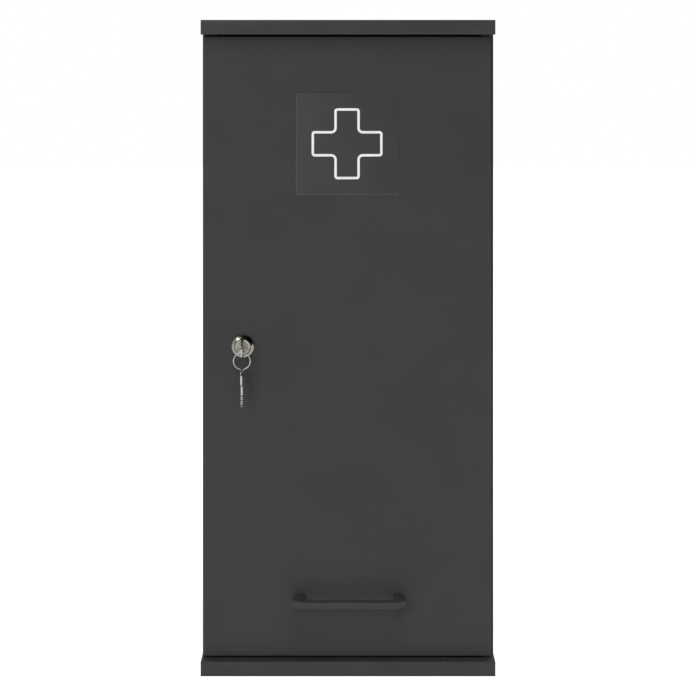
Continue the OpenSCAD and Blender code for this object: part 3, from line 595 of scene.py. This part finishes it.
MATERIALS = {
    "melamine_board": melamine(),
    "abs_edging": abs_edging(),
    "beech": beech(),
    # Bright zinc plate on cold-rolled steel: slightly blue, with rolling lines
    "zinc_plated_steel": metal(
        "bright_zinc_plated_steel", "#a3a7aa", "#b7babc", 0.28, 0.5, 0.006, ALONG_X
    ),
    # Zinc die casting, tumbled: dull grey, slightly pitted
    "zinc_casting": metal("tumbled_zinc_casting", "#85888a", "#9b9d9f", 0.45, 0.8, 0.02),
    # Bright nickel on turned brass: polished, with a warm cast
    "bright_nickel": metal("polished_bright_nickel", "#76736c", "#87847e", 0.12, 0.6, 0.002),
    # Nickel plate on a stamped steel key: handled, so less even
    "nickel_plated_steel": metal("handled_nickel_plate", "#93918b", "#aaa8a2", 0.2, 0.5, 0.006),
    # Nickel-plated brass, rubbed by the key to a warmer tone
    "nickel_plated_brass": metal("rubbed_nickel_brass", "#7d7a71", "#8f8c83", 0.24, 0.5, 0.004),
    # Moulded nylon: black, half matt
    "black_nylon": moulded("black_nylon", "#151515", "#1b1b1b", 0.5, 0.5),
    # Moulded rubber: dark, dull
    "buffer_rubber": moulded("black_rubber", "#1a1a1a", "#222222", 0.75, 0.6),
    "handle_coating": powder_coat(),
    "label_film": painted_sign(),
    "label_white": cut_vinyl(),
    # Moulded caps, dyed to match the board
    "cap_plastic": moulded("anthracite_cap_plastic", "#363637", "#3a3a3b", 0.5, 0.5),
}

# Every CAD node starts with its slot's finish; a piece that replaces one takes it over
slot_of = {part["node"]: part["material_slot"] for part in frame["record"]["subparts"]}
for node_name, node_object in frame["nodes"].items():
    node_object.data.materials.clear()
    node_object.data.materials.append(MATERIALS[slot_of[node_name]])


# ---------------------------------------------------------------- edging on the boards


def edging_strip(bm, low, high, axis, sign):
    """One strip of edging, rounded on the side that faces outwards along the axis."""
    face = high[axis] if sign > 0 else low[axis]

    def on_outer_face(edge):
        return all(abs(vert.co[axis] - face) < SAME_CAD_POINT for vert in edge.verts)

    add_block(bm, low, high, EDGING_ROUND_MM * MM, on_outer_face)


def edging_round(node, long_axis, short_axis):
    """Edging round a rectangular panel: two long strips, and two short ones butted between."""
    low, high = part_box(node)
    thick = EDGING_T_MM * MM
    inset = thick + EDGING_SEAM_MM * MM
    bm = bmesh.new()
    for sign in (-1, 1):
        for axis, other_inset in ((short_axis, 0.0), (long_axis, inset)):
            start = low.copy()
            end = high.copy()
            start[short_axis] += other_inset
            end[short_axis] -= other_inset
            if sign < 0:
                end[axis] = low[axis] + thick
            else:
                start[axis] = high[axis] - thick
            edging_strip(bm, start, end, axis, sign)
    piece = from_bmesh(node + "_strips", bm)
    shade_by_angle(piece)
    return piece


def front_strips(node, axis, spans):
    """Straight strips of edging along the fronts of boards, one for each span on the axis."""
    low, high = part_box(node)
    bm = bmesh.new()
    for near, far in spans:
        start = low.copy()
        end = high.copy()
        start[axis] = near
        end[axis] = far
        edging_strip(bm, start, end, 1, -1)
    piece = from_bmesh(node + "_strips", bm)
    shade_by_angle(piece)
    finish_piece(piece, "carcass", "abs_edging", [node])


def board_edging():
    """The edging on the boards, the side panels and the shelves."""
    for node in ("top_board_edging", "bottom_board_edging"):
        finish_piece(edging_round(node, 0, 1), "carcass", "abs_edging", [node])
    for node, axis in (("side_edgings", 0), ("shelf_edgings", 2)):
        boxes = [corners_of(points) for points in solids_of(node)]
        front_strips(node, axis, [(low[axis], high[axis]) for low, high in boxes])


def door_edging():
    """The door's edging, let out for the two hinge plates."""
    piece = edging_round("door_edging", 2, 0)
    slack = Vector((1, 1, 1)) * PLATE_SLACK_MM * MM
    for points in solids_of("hinge_door_plates"):
        low, high = corners_of(points)
        bm = bmesh.new()
        add_block(bm, low - slack, high + slack)
        cut_away(piece, from_bmesh("plate_room", bm))
    shade_by_angle(piece)
    finish_piece(piece, "door", "abs_edging", ["door_edging"])


board_edging()
door_edging()


# ---------------------------------------------------------------- fittings

# Parts whose arrises only need breaking: node, its body and the radius
FITTINGS = [
    ("hanging_rail", "carcass", WOOD_ROUND_MM),
    ("wood_dowels", "carcass", WOOD_ROUND_MM),
    ("wall_washers", "carcass", SHEET_ROUND_MM),
    ("shelf_pins", "carcass", SHEET_ROUND_MM),
    ("cam_housings", "carcass", CASTING_ROUND_MM),
    ("cam_bolts", "carcass", SHEET_ROUND_MM),
    ("cam_caps", "carcass", SHEET_ROUND_MM),
    ("hinge_frame_plates", "carcass", SHEET_ROUND_MM),
    ("hinge_pins", "carcass", SHEET_ROUND_MM),
    ("hinge_washers", "carcass", SHEET_ROUND_MM),
    ("strike_plate", "carcass", SHEET_ROUND_MM),
    ("hinge_door_plates", "door", SHEET_ROUND_MM),
    ("door_buffers", "door", CASTING_ROUND_MM),
    ("lock_case", "door", SHEET_ROUND_MM),
    ("lock_cover", "door", SHEET_ROUND_MM),
    ("lock_cam", "plug", SHEET_ROUND_MM),
    ("lock_bolt", "bolt", CASTING_ROUND_MM),
]

for fitting, fitting_body, round_mm in FITTINGS:
    finish_piece(softened(fitting, round_mm), fitting_body, slot_of[fitting], [fitting])


# ---------------------------------------------------------------- screws

# Node, body, shank width, head width, and a pan head's height, 0 being countersunk
SCREWS_MM = [
    ("rail_screws", "carcass", 4.0, 8.0, 0.0),
    ("hinge_frame_screws", "carcass", 3.5, 7.0, 0.0),
    ("strike_screws", "carcass", 3.0, 6.0, 0.0),
    ("hinge_door_screws", "door", 3.5, 7.0, 0.0),
    ("lock_screws", "door", 3.5, 6.5, 0.0),
    ("handle_screws", "door", 4.0, 8.0, 2.5),
    ("cam_screw", "plug", 4.0, 7.0, 2.0),
]

# Shares of the shank's width
PITCH_SHARE = 0.42
CORE_SHARE = 0.36
RECESS_W_SHARE = 0.27

# Shares of the head's width and height
PAN_TOP_SHARE = 0.82
RECESS_L_SHARE = 0.56
RECESS_DEPTH_SHARE = 0.6

SCREW_SIDES = 32
THREAD_STEPS = 16
SCREW_SEED = 7


def screw_tree():
    """Geometry Nodes that put a cross-recess screw on every point, head outwards.

    The screw is built from its tip up: tip, shank with its thread, head, recess.
    """
    tree = bpy.data.node_groups.new("cross_recess_screws", "GeometryNodeTree")
    face = tree.interface
    face.new_socket("Seats", in_out="INPUT", socket_type="NodeSocketGeometry")
    for label in (
        "Head Radius",
        "Under Head Radius",
        "Head Height",
        "Core Radius",
        "Shank Length",
        "Tip Length",
        "Thread Turns",
        "Thread Depth",
        "Recess Length",
        "Recess Width",
        "Recess Depth",
    ):
        face.new_socket(label, in_out="INPUT", socket_type="NodeSocketFloat")
    face.new_socket("Metal", in_out="INPUT", socket_type="NodeSocketMaterial")
    face.new_socket("Screws", in_out="OUTPUT", socket_type="NodeSocketGeometry")
    size = add(tree, "NodeGroupInput").outputs

    def total(a, b):
        return add(tree, "ShaderNodeMath", {0: a, 1: b}, operation="ADD").outputs[0]

    def raised(shape, height):
        offset = add(tree, "ShaderNodeCombineXYZ", {"Z": height}).outputs[0]
        moved = {"Geometry": shape, "Translation": offset}
        return add(tree, "GeometryNodeTransform", moved).outputs[0]

    def cone(top, bottom, height):
        sizes = {
            "Vertices": SCREW_SIDES,
            "Radius Top": top,
            "Radius Bottom": bottom,
            "Depth": height,
        }
        return add(tree, "GeometryNodeMeshCone", sizes).outputs["Mesh"]

    def recess_arm(x, y):
        twice = total(size["Recess Depth"], size["Recess Depth"])
        block = add(tree, "ShaderNodeCombineXYZ", {"X": x, "Y": y, "Z": twice}).outputs[0]
        return add(tree, "GeometryNodeMeshCube", {"Size": block}).outputs["Mesh"]

    shank_top = total(size["Tip Length"], size["Shank Length"])
    top = total(shank_top, size["Head Height"])
    tip = cone(size["Core Radius"], 0.0, size["Tip Length"])
    shank = cone(size["Core Radius"], size["Core Radius"], size["Shank Length"])
    head = cone(size["Head Radius"], size["Under Head Radius"], size["Head Height"])
    arms = [
        raised(recess_arm(size["Recess Length"], size["Recess Width"]), top),
        raised(recess_arm(size["Recess Width"], size["Recess Length"]), top),
    ]
    cut_head = add(
        tree,
        "GeometryNodeMeshBoolean",
        {"Mesh 1": raised(head, shank_top), "Mesh 2": arms},
        operation="DIFFERENCE",
        solver="EXACT",
    ).outputs["Mesh"]
    coil = add(
        tree,
        "GeometryNodeCurveSpiral",
        {
            "Resolution": THREAD_STEPS,
            "Rotations": size["Thread Turns"],
            "Start Radius": size["Core Radius"],
            "End Radius": size["Core Radius"],
            "Height": size["Shank Length"],
        },
    ).outputs["Curve"]
    ridge = add(
        tree,
        "GeometryNodeCurvePrimitiveCircle",
        {"Resolution": 3, "Radius": size["Thread Depth"]},
    ).outputs["Curve"]
    thread = add(
        tree, "GeometryNodeCurveToMesh", {"Curve": coil, "Profile Curve": ridge, "Fill Caps": True}
    ).outputs["Mesh"]
    parts = [tip, raised(shank, size["Tip Length"]), raised(thread, size["Tip Length"]), cut_head]
    screw = add(tree, "GeometryNodeJoinGeometry", {"Geometry": parts}).outputs[0]
    down = add(tree, "ShaderNodeMath", {0: top, 1: -1.0}, operation="MULTIPLY").outputs[0]
    screw = raised(screw, down)

    outward = add(
        tree, "GeometryNodeInputNamedAttribute", {"Name": "outward"}, data_type="FLOAT_VECTOR"
    ).outputs["Attribute"]
    upright = add(
        tree, "FunctionNodeAlignRotationToVector", {"Vector": outward}, axis="Z"
    ).outputs["Rotation"]
    any_turn = {3: TAU, "Seed": SCREW_SEED}
    driven = add(tree, "FunctionNodeRandomValue", any_turn, data_type="FLOAT")
    twist = add(
        tree,
        "FunctionNodeAxisAngleToRotation",
        {"Axis": (0, 0, 1), "Angle": driven.outputs[1]},
    ).outputs["Rotation"]
    turned = add(
        tree,
        "FunctionNodeRotateRotation",
        {"Rotation": upright, "Rotate By": twist},
        rotation_space="LOCAL",
    ).outputs["Rotation"]
    placed = add(
        tree,
        "GeometryNodeInstanceOnPoints",
        {"Points": size["Seats"], "Instance": screw, "Rotation": turned},
    ).outputs["Instances"]
    real = add(tree, "GeometryNodeRealizeInstances", {"Geometry": placed}).outputs[0]
    plated = add(
        tree, "GeometryNodeSetMaterial", {"Geometry": real, "Material": size["Metal"]}
    ).outputs[0]
    add(tree, "NodeGroupOutput", {"Screws": plated})
    return tree


def screw_seats(node):
    """Each screw's head centre, the way it faces and its length, read from the CAD solids."""
    seats = []
    for points in solids_of(node):
        low, high = corners_of(points)
        middle = (low + high) / 2
        axis = max(range(3), key=lambda i: high[i] - low[i])

        def off_axis(point):
            return sum((point[i] - middle[i]) ** 2 for i in range(3) if i != axis)

        widest = max(points, key=off_axis)
        outward = Vector((0, 0, 0))
        outward[axis] = 1 if widest[axis] > middle[axis] else -1
        seat = middle + outward * (high[axis] - low[axis]) / 2
        seats.append((seat, outward, high[axis] - low[axis]))
    return seats


def screws(tree, node, body, shank_mm, head_mm, pan_mm):
    """Replaces a group of screws."""
    seats = screw_seats(node)
    points = bpy.data.meshes.new(node + "_seats")
    points.from_pydata([seat for seat, _, _ in seats], [], [])
    facing = points.attributes.new("outward", "FLOAT_VECTOR", "POINT")
    for item, (_, outward, _) in zip(facing.data, seats):
        item.vector = outward
    piece = new_object(node + "_driven", points)

    countersink = (head_mm - shank_mm) / 2
    head_h = pan_mm or countersink
    core = shank_mm * CORE_SHARE
    tip = shank_mm
    shank = seats[0][2] / MM - head_h - tip
    sizes_mm = {
        "Head Radius": head_mm / 2 * (PAN_TOP_SHARE if pan_mm else 1.0),
        "Under Head Radius": head_mm / 2 if pan_mm else shank_mm / 2,
        "Head Height": head_h,
        "Core Radius": core,
        "Shank Length": shank,
        "Tip Length": tip,
        "Thread Depth": shank_mm / 2 - core,
        "Recess Length": head_mm * RECESS_L_SHARE,
        "Recess Width": shank_mm * RECESS_W_SHARE,
        "Recess Depth": head_h * RECESS_DEPTH_SHARE,
    }
    modifier = piece.modifiers.new("screws", "NODES")
    modifier.node_group = tree
    for socket in tree.interface.items_tree:
        if socket.name in sizes_mm:
            modifier[socket.identifier] = sizes_mm[socket.name] * MM
        elif socket.name == "Thread Turns":
            modifier[socket.identifier] = shank / (shank_mm * PITCH_SHARE)
        elif socket.name == "Metal":
            modifier[socket.identifier] = MATERIALS["zinc_plated_steel"]
    apply_modifiers(piece)
    shade_by_angle(piece)
    finish_piece(piece, body, "zinc_plated_steel", [node])


cross_recess_screws = screw_tree()
for screw_row in SCREWS_MM:
    screws(cross_recess_screws, *screw_row)


# ---------------------------------------------------------------- handle


def bow_handle():
    """The bow handle: posts that lean outwards, a slant at each outer corner and a flat bar."""
    low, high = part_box("handle")
    widest = (high.x - low.x) / 2 / MM
    deep = (high.y - low.y) / MM
    foot = widest - SPLAY_MM
    inner = foot - POST_W_MM
    front = widest - SLANT_W_MM
    outline = fillet(
        [
            (inner, deep, 0),
            (inner, BAR_T_MM, INNER_ROUND_MM),
            (-inner, BAR_T_MM, INNER_ROUND_MM),
            (-inner, deep, 0),
            (-foot, deep, 0),
            (-widest, BAR_T_MM, SLANT_ROUND_MM),
            (-front, 0, SLANT_ROUND_MM),
            (front, 0, SLANT_ROUND_MM),
            (widest, BAR_T_MM, SLANT_ROUND_MM),
            (foot, deep, 0),
        ]
    )
    place = Matrix.Translation(((low.x + high.x) / 2, low.y, (low.z + high.z) / 2))
    piece = flat_plate("bow_handle", [outline], (high.z - low.z) / MM, HANDLE_ROUND_MM, place)
    finish_piece(piece, "door", "handle_coating", ["handle"])


bow_handle()


# ---------------------------------------------------------------- sign

# Turns a plate drawn in XY to face the front: its X stays, its Y becomes Z
UPRIGHT = Matrix.Rotation(math.radians(90), 4, "X")

# A face of the sign whose normal has this much along Y is lacquered, and the rest is bare
LACQUERED_FROM = 0.95


def cross_outline(half, arm, tip_r, crotch_r):
    """Outline of an upright cross with round tips and round inner corners."""
    corners = []
    for quarter in range(4):
        turn = Matrix.Rotation(math.radians(90 * quarter), 2)
        for x, y, radius in ((half, -arm, tip_r), (half, arm, tip_r), (arm, arm, crotch_r)):
            corners.append((*(turn @ Vector((x, y))), radius))
    return fillet(corners)


def sign():
    """The square sign with its plain outlined cross."""
    low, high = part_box("label_plate")
    half = (high.x - low.x) / 2 / MM
    corners = [(half, half), (-half, half), (-half, -half), (half, -half)]
    outline = fillet([(x, y, SIGN_CORNER_MM) for x, y in corners])
    place = Matrix.Translation((low + high) / 2) @ UPRIGHT
    piece = flat_plate("sign_plate", [outline], (high.y - low.y) / MM, SIGN_ROUND_MM, place)
    finish_piece(piece, "door", "label_film", ["label_plate"])
    piece.data.materials.append(sheared_aluminium())
    for face in piece.data.polygons:
        face.material_index = 0 if abs(face.normal.y) > LACQUERED_FROM else 1

    low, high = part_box("label_cross")
    half = (high.x - low.x) / 2 / MM
    arm = CROSS_ARM_MM / 2
    line = CROSS_LINE_MM
    outer = cross_outline(half, arm, CROSS_TIP_MM, CROSS_TIP_MM)
    inner = cross_outline(half - line, arm - line, CROSS_TIP_MM - line, CROSS_TIP_MM + line)
    place = Matrix.Translation((low + high) / 2) @ UPRIGHT
    piece = flat_plate("sign_cross", [outer, inner], (high.y - low.y) / MM, FILM_ROUND_MM, place)
    finish_piece(piece, "door", "label_white", ["label_cross"])


sign()


# ---------------------------------------------------------------- lock front


def rosette():
    """The turned rosette: a shallow cone with a rolled rim and a chamfer round the bore."""
    low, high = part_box("lock_rosette")
    centre = Vector(((low.x + high.x) / 2, high.y, (low.z + high.z) / 2))
    outer = (high.x - low.x) / 2 / MM
    tall = (high.y - low.y) / MM
    bore = BARREL_D_MM / 2 + ROSETTE_PLAY_MM
    roll = tall - ROSETTE_DROP_MM - RIM_FOOT_MM
    rim = []
    for turn in quarter_turn(8):
        across = outer - RIM_W_MM * (1 - math.cos(turn))
        rim.append((across, RIM_FOOT_MM + roll * math.sin(turn)))
    chamfer = [(bore + ROSETTE_CHAMFER_MM, tall), (bore, tall - ROSETTE_CHAMFER_MM)]
    profile = [(bore, 0.0), (outer, 0.0)] + rim + chamfer
    piece = lathe("rosette_ring", profile, centre, (0, -1, 0))
    finish_piece(piece, "door", "bright_nickel", ["lock_rosette"])


def barrel():
    """The turned barrel with its rolled front edge and its flange inside the door."""
    low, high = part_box("lock_barrel")
    deep = (high.y - low.y) / MM
    centre = Vector(((low.x + high.x) / 2, low.y, (low.z + high.z) / 2))
    plug_low, plug_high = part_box("lock_plug")
    hole = (plug_high.x - plug_low.x) / 2 / MM + PLUG_PLAY_MM
    outer = BARREL_D_MM / 2
    flange = FLANGE_D_MM / 2
    flange_from = deep - FLANGE_T_MM
    bore = [(hole, deep), (hole, PLUG_CHAMFER_MM), (hole + PLUG_CHAMFER_MM, 0.0)]
    edge = []
    for turn in quarter_turn(6):
        inwards = BARREL_EDGE_ROUND_MM * (1 - math.sin(turn))
        edge.append((outer - inwards, BARREL_EDGE_ROUND_MM * (1 - math.cos(turn))))
    foot = [(outer, flange_from), (flange, flange_from), (flange, deep)]
    profile = bore + edge + foot
    piece = lathe("barrel_turned", profile, centre, (0, 1, 0))
    finish_piece(piece, "door", "bright_nickel", ["lock_barrel"])


rosette()
barrel()


# ---------------------------------------------------------------- keys


def key_outline(length_mm):
    """A key's outline with its bow's hole at the origin and its blade along +X."""
    half = BOW_MM / 2
    left = -BOW_HOLE_INSET_MM
    right = left + BOW_MM
    shoulder = right + NECK_L_MM
    tip = left + length_mm
    edge = BLADE_W_MM / 2
    notches = len(KEY_NOTCH_DEPTHS_MM)
    first = tip - BLADE_POINT_MM - max(KEY_NOTCH_DEPTHS_MM) - (notches - 1) * KEY_NOTCH_PITCH_MM
    upper = [
        (left, half, BOW_TOP_ROUND_MM),
        (right, half, BOW_NECK_ROUND_MM),
        (right, NECK_W_MM / 2, 0),
        (shoulder, NECK_W_MM / 2, 0),
        (shoulder, edge, 0),
    ]
    for i, deep in enumerate(KEY_NOTCH_DEPTHS_MM):
        x = first + i * KEY_NOTCH_PITCH_MM
        upper += [
            (x - deep, edge, 0),
            (x, edge - deep, 0),
            (x + deep, edge, 0),
        ]
    upper += [(tip - BLADE_POINT_MM, edge, 0), (tip, BLADE_TIP_W_MM / 2, 0)]
    lower = [(x, -y, radius) for x, y, radius in reversed(upper)]
    return fillet((upper + lower)[::-1], steps=10)


def key(name, node, body, place):
    """A stamped key with its hole and a milled groove along each side of the blade."""
    low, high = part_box(node)
    size = sorted(high - low)
    thick = size[0] / MM
    long = size[2] / MM
    hole = circle(BOW_HOLE_D_MM / 2)[::-1]
    piece = flat_plate(name, [key_outline(long), hole], thick, KEY_ROUND_MM, place)
    start = BOW_MM - BOW_HOLE_INSET_MM + GROOVE_FROM_BOW_MM
    end = long - BOW_HOLE_INSET_MM - GROOVE_FROM_TIP_MM
    for side in (-1, 1):
        face = side * thick / 2
        bm = bmesh.new()
        add_block(
            bm,
            Vector((start, -GROOVE_W_MM / 2, face - GROOVE_DEPTH_MM)) * MM,
            Vector((end, GROOVE_W_MM / 2, face + GROOVE_DEPTH_MM)) * MM,
            GROOVE_DEPTH_MM * GROOVE_ROUND_SHARE * MM,
        )
        bmesh.ops.transform(bm, matrix=place, verts=bm.verts)
        cut_away(piece, from_bmesh("groove", bm))
    shade_by_angle(piece)
    finish_piece(piece, body, "nickel_plated_steel", [node])


def keys():
    """The key in the lock stands on edge; the spare hangs from the ring, blade down."""
    inset = BOW_HOLE_INSET_MM * MM
    low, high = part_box("lock_key")
    hole = Vector(((low.x + high.x) / 2, low.y + inset, (low.z + high.z) / 2))
    inwards = Matrix.Rotation(math.radians(90), 4, "Z")
    on_edge = Matrix.Rotation(math.radians(-90), 4, "Y")
    key("key_in_lock", "lock_key", "key", Matrix.Translation(hole) @ on_edge @ inwards)
    low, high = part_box("spare_key")
    hole = Vector(((low.x + high.x) / 2, (low.y + high.y) / 2, high.z - inset))
    hanging = Matrix.Rotation(math.radians(90), 4, "Y")
    key("key_spare", "spare_key", "spare", Matrix.Translation(hole) @ hanging)


def split_ring():
    """A split ring: flat wire wound twice, with the jog where it crosses to its second turn."""
    low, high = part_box("key_ring")
    centre = (low + high) / 2
    thick = high.y - low.y
    mean = (high.x - low.x) / 2 - thick / 2
    jog = math.radians(JOG_DEG)
    jog_at = math.radians(JOG_AT_DEG)
    start = jog / 2
    end = 2 * TAU - jog / 2
    half_w = thick / 2 / MM * WIRE_W_SHARE
    half_t = thick / 2 / MM * WIRE_T_SHARE
    corners = [(half_w, half_t), (-half_w, half_t), (-half_w, -half_t), (half_w, -half_t)]
    wire = fillet([(x, y, WIRE_ROUND_MM) for x, y in corners], steps=3)
    sections = []
    for step in range(RING_STEPS + 1):
        angle = start + (end - start) * step / RING_STEPS
        share = min(1.0, max(0.0, (angle - (TAU - jog / 2)) / jog))
        eased = share * share * (3 - 2 * share)
        layer = (eased - 0.5) * thick / 2
        out = Vector((math.cos(angle + jog_at), 0, math.sin(angle + jog_at)))
        sections.append(
            [
                centre + out * (mean + across * MM) + Vector((0, layer + along * MM, 0))
                for across, along in wire
            ]
        )
    bm = bmesh.new()
    sweep(bm, sections, closed=False)
    piece = from_bmesh("split_ring", bm)
    shade_by_angle(piece)
    finish_piece(piece, "ring", "nickel_plated_steel", ["key_ring"])


keys()
split_ring()


# ---------------------------------------------------------------- studio

# The camera stands level, in front of the middle, as high as the top board
CAMERA_Z_MM = 842.0
CAMERA_FROM_DOOR_MM = 2310.0
CAMERA_SEES_M = 50.0
LENS_MM = 92.19
SENSOR_MM = 36.0
SHIFT_Y = -0.467

# Soft lamps, aimed at the front: name, side, place and watts
AIM = (0, -0.15, 0.43)
LAMPS = [
    ("key_lamp", 3.0, (-3.4, -7.5, 4.4), 226),
    ("low_lamp", 2.0, (-0.3, -3.4, 0.2), 11),
    ("top_lamp", 1.6, (0.3, -1.9, 3.4), 36),
]

# The world's light on the object, and how far the floor is lifted where it is seen
WORLD_LIGHT = 0.34
FLOOR_GLOW = 0.85
FLOOR_REACH = 8.0

# The black card is bent round the object; its arc is counted from straight ahead to the right
FLAG_R = 2.5
FLAG_FROM_DEG = -22
FLAG_TO_DEG = 90
FLAG_STEPS = 12
FLAG_LOW_Z = 0.28
FLAG_HIGH_Z = 2.0
FLAG_LEFT_X = -1.35
FLAG_BACK_Y = 0.4


def camera():
    """The camera, level, shifted down so that the cabinet's verticals stay parallel."""
    data = bpy.data.cameras.new("camera")
    data.sensor_width = SENSOR_MM
    data.lens = LENS_MM
    data.shift_y = SHIFT_Y
    data.clip_end = CAMERA_SEES_M
    view = new_object("camera", data)
    door_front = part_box("door_panel")[0].y
    view.location = (0, door_front - CAMERA_FROM_DOOR_MM * MM, CAMERA_Z_MM * MM)
    view.rotation_euler = (math.radians(90), 0, 0)
    bpy.context.scene.camera = view


def softbox(name, side, place, watts):
    """A square soft lamp."""
    data = bpy.data.lights.new(name, "AREA")
    data.size = side
    data.energy = watts
    lamp = new_object(name, data)
    lamp.location = place
    towards = Vector(AIM) - Vector(place)
    lamp.rotation_euler = towards.to_track_quat("-Z", "Y").to_euler()


def seen_directly(tree):
    """1 where a ray comes from the camera, a mirror or glass, and 0 elsewhere."""
    path = add(tree, "ShaderNodeLightPath").outputs
    either = add(
        tree,
        "ShaderNodeMath",
        {0: path["Is Camera Ray"], 1: path["Is Glossy Ray"]},
        operation="MAXIMUM",
    ).outputs[0]
    return add(
        tree, "ShaderNodeMath", {0: either, 1: path["Is Transmission Ray"]}, operation="MAXIMUM"
    ).outputs[0]


def backdrop():
    """A white background that lights the object less than it shows."""
    world = bpy.data.worlds.new("studio")
    bpy.context.scene.world = world
    tree = cleared_tree(world)
    dim = add(tree, "ShaderNodeBackground", {"Color": srgb("#ffffff"), "Strength": WORLD_LIGHT})
    white = add(tree, "ShaderNodeBackground", {"Color": srgb("#ffffff"), "Strength": 1.0})
    mixed = add(
        tree,
        "ShaderNodeMixShader",
        {0: seen_directly(tree), 1: dim.outputs[0], 2: white.outputs[0]},
    )
    add(tree, "ShaderNodeOutputWorld", {"Surface": mixed.outputs[0]})


def floor():
    """A pale matt floor, lifted to white where it is seen but not where it lights."""
    bm = bmesh.new()
    bmesh.ops.create_grid(bm, x_segments=1, y_segments=1, size=FLOOR_REACH)
    piece = from_bmesh("floor", bm)
    material = bpy.data.materials.new("pale_studio_floor")
    tree = cleared_tree(material)
    matt = add(tree, "ShaderNodeBsdfDiffuse", {"Color": srgb("#f4f4f4")})
    glow = add(tree, "ShaderNodeEmission", {"Color": srgb("#ffffff"), "Strength": FLOOR_GLOW})
    nothing = add(tree, "ShaderNodeEmission", {"Strength": 0.0})
    lift = add(
        tree,
        "ShaderNodeMixShader",
        {0: seen_directly(tree), 1: nothing.outputs[0], 2: glow.outputs[0]},
    )
    both = add(tree, "ShaderNodeAddShader", {0: matt.outputs[0], 1: lift.outputs[0]})
    add(tree, "ShaderNodeOutputMaterial", {"Surface": both.outputs[0]})
    piece.data.materials.append(material)


def black_flag():
    """A bent black card to the right of the camera and overhead, seen only in reflections."""
    bm = bmesh.new()
    columns = []
    for step in range(FLAG_STEPS + 1):
        share = step / FLAG_STEPS
        turn = math.radians(FLAG_FROM_DEG + (FLAG_TO_DEG - FLAG_FROM_DEG) * share)
        x = FLAG_R * math.sin(turn)
        y = -FLAG_R * math.cos(turn)
        columns.append([bm.verts.new((x, y, z)) for z in (FLAG_LOW_Z, FLAG_HIGH_Z)])
    for near, far in zip(columns, columns[1:]):
        bm.faces.new((near[0], far[0], far[1], near[1]))
    overhead = [
        (FLAG_LEFT_X, -FLAG_R),
        (FLAG_R, -FLAG_R),
        (FLAG_R, FLAG_BACK_Y),
        (FLAG_LEFT_X, FLAG_BACK_Y),
    ]
    bm.faces.new([bm.verts.new((x, y, FLAG_HIGH_Z)) for x, y in overhead])
    card = from_bmesh("black_flag", bm)
    material = bpy.data.materials.new("black_velvet_card")
    tree = cleared_tree(material)
    velvet = add(tree, "ShaderNodeBsdfDiffuse", {"Color": srgb("#0c0c0c")})
    add(tree, "ShaderNodeOutputMaterial", {"Surface": velvet.outputs[0]})
    card.data.materials.append(material)
    card.visible_camera = False
    card.visible_diffuse = False
    card.visible_transmission = False
    card.visible_shadow = False


camera()
backdrop()
floor()
black_flag()
for lamp_row in LAMPS:
    softbox(*lamp_row)
bpy.context.scene.view_settings.view_transform = "Standard"
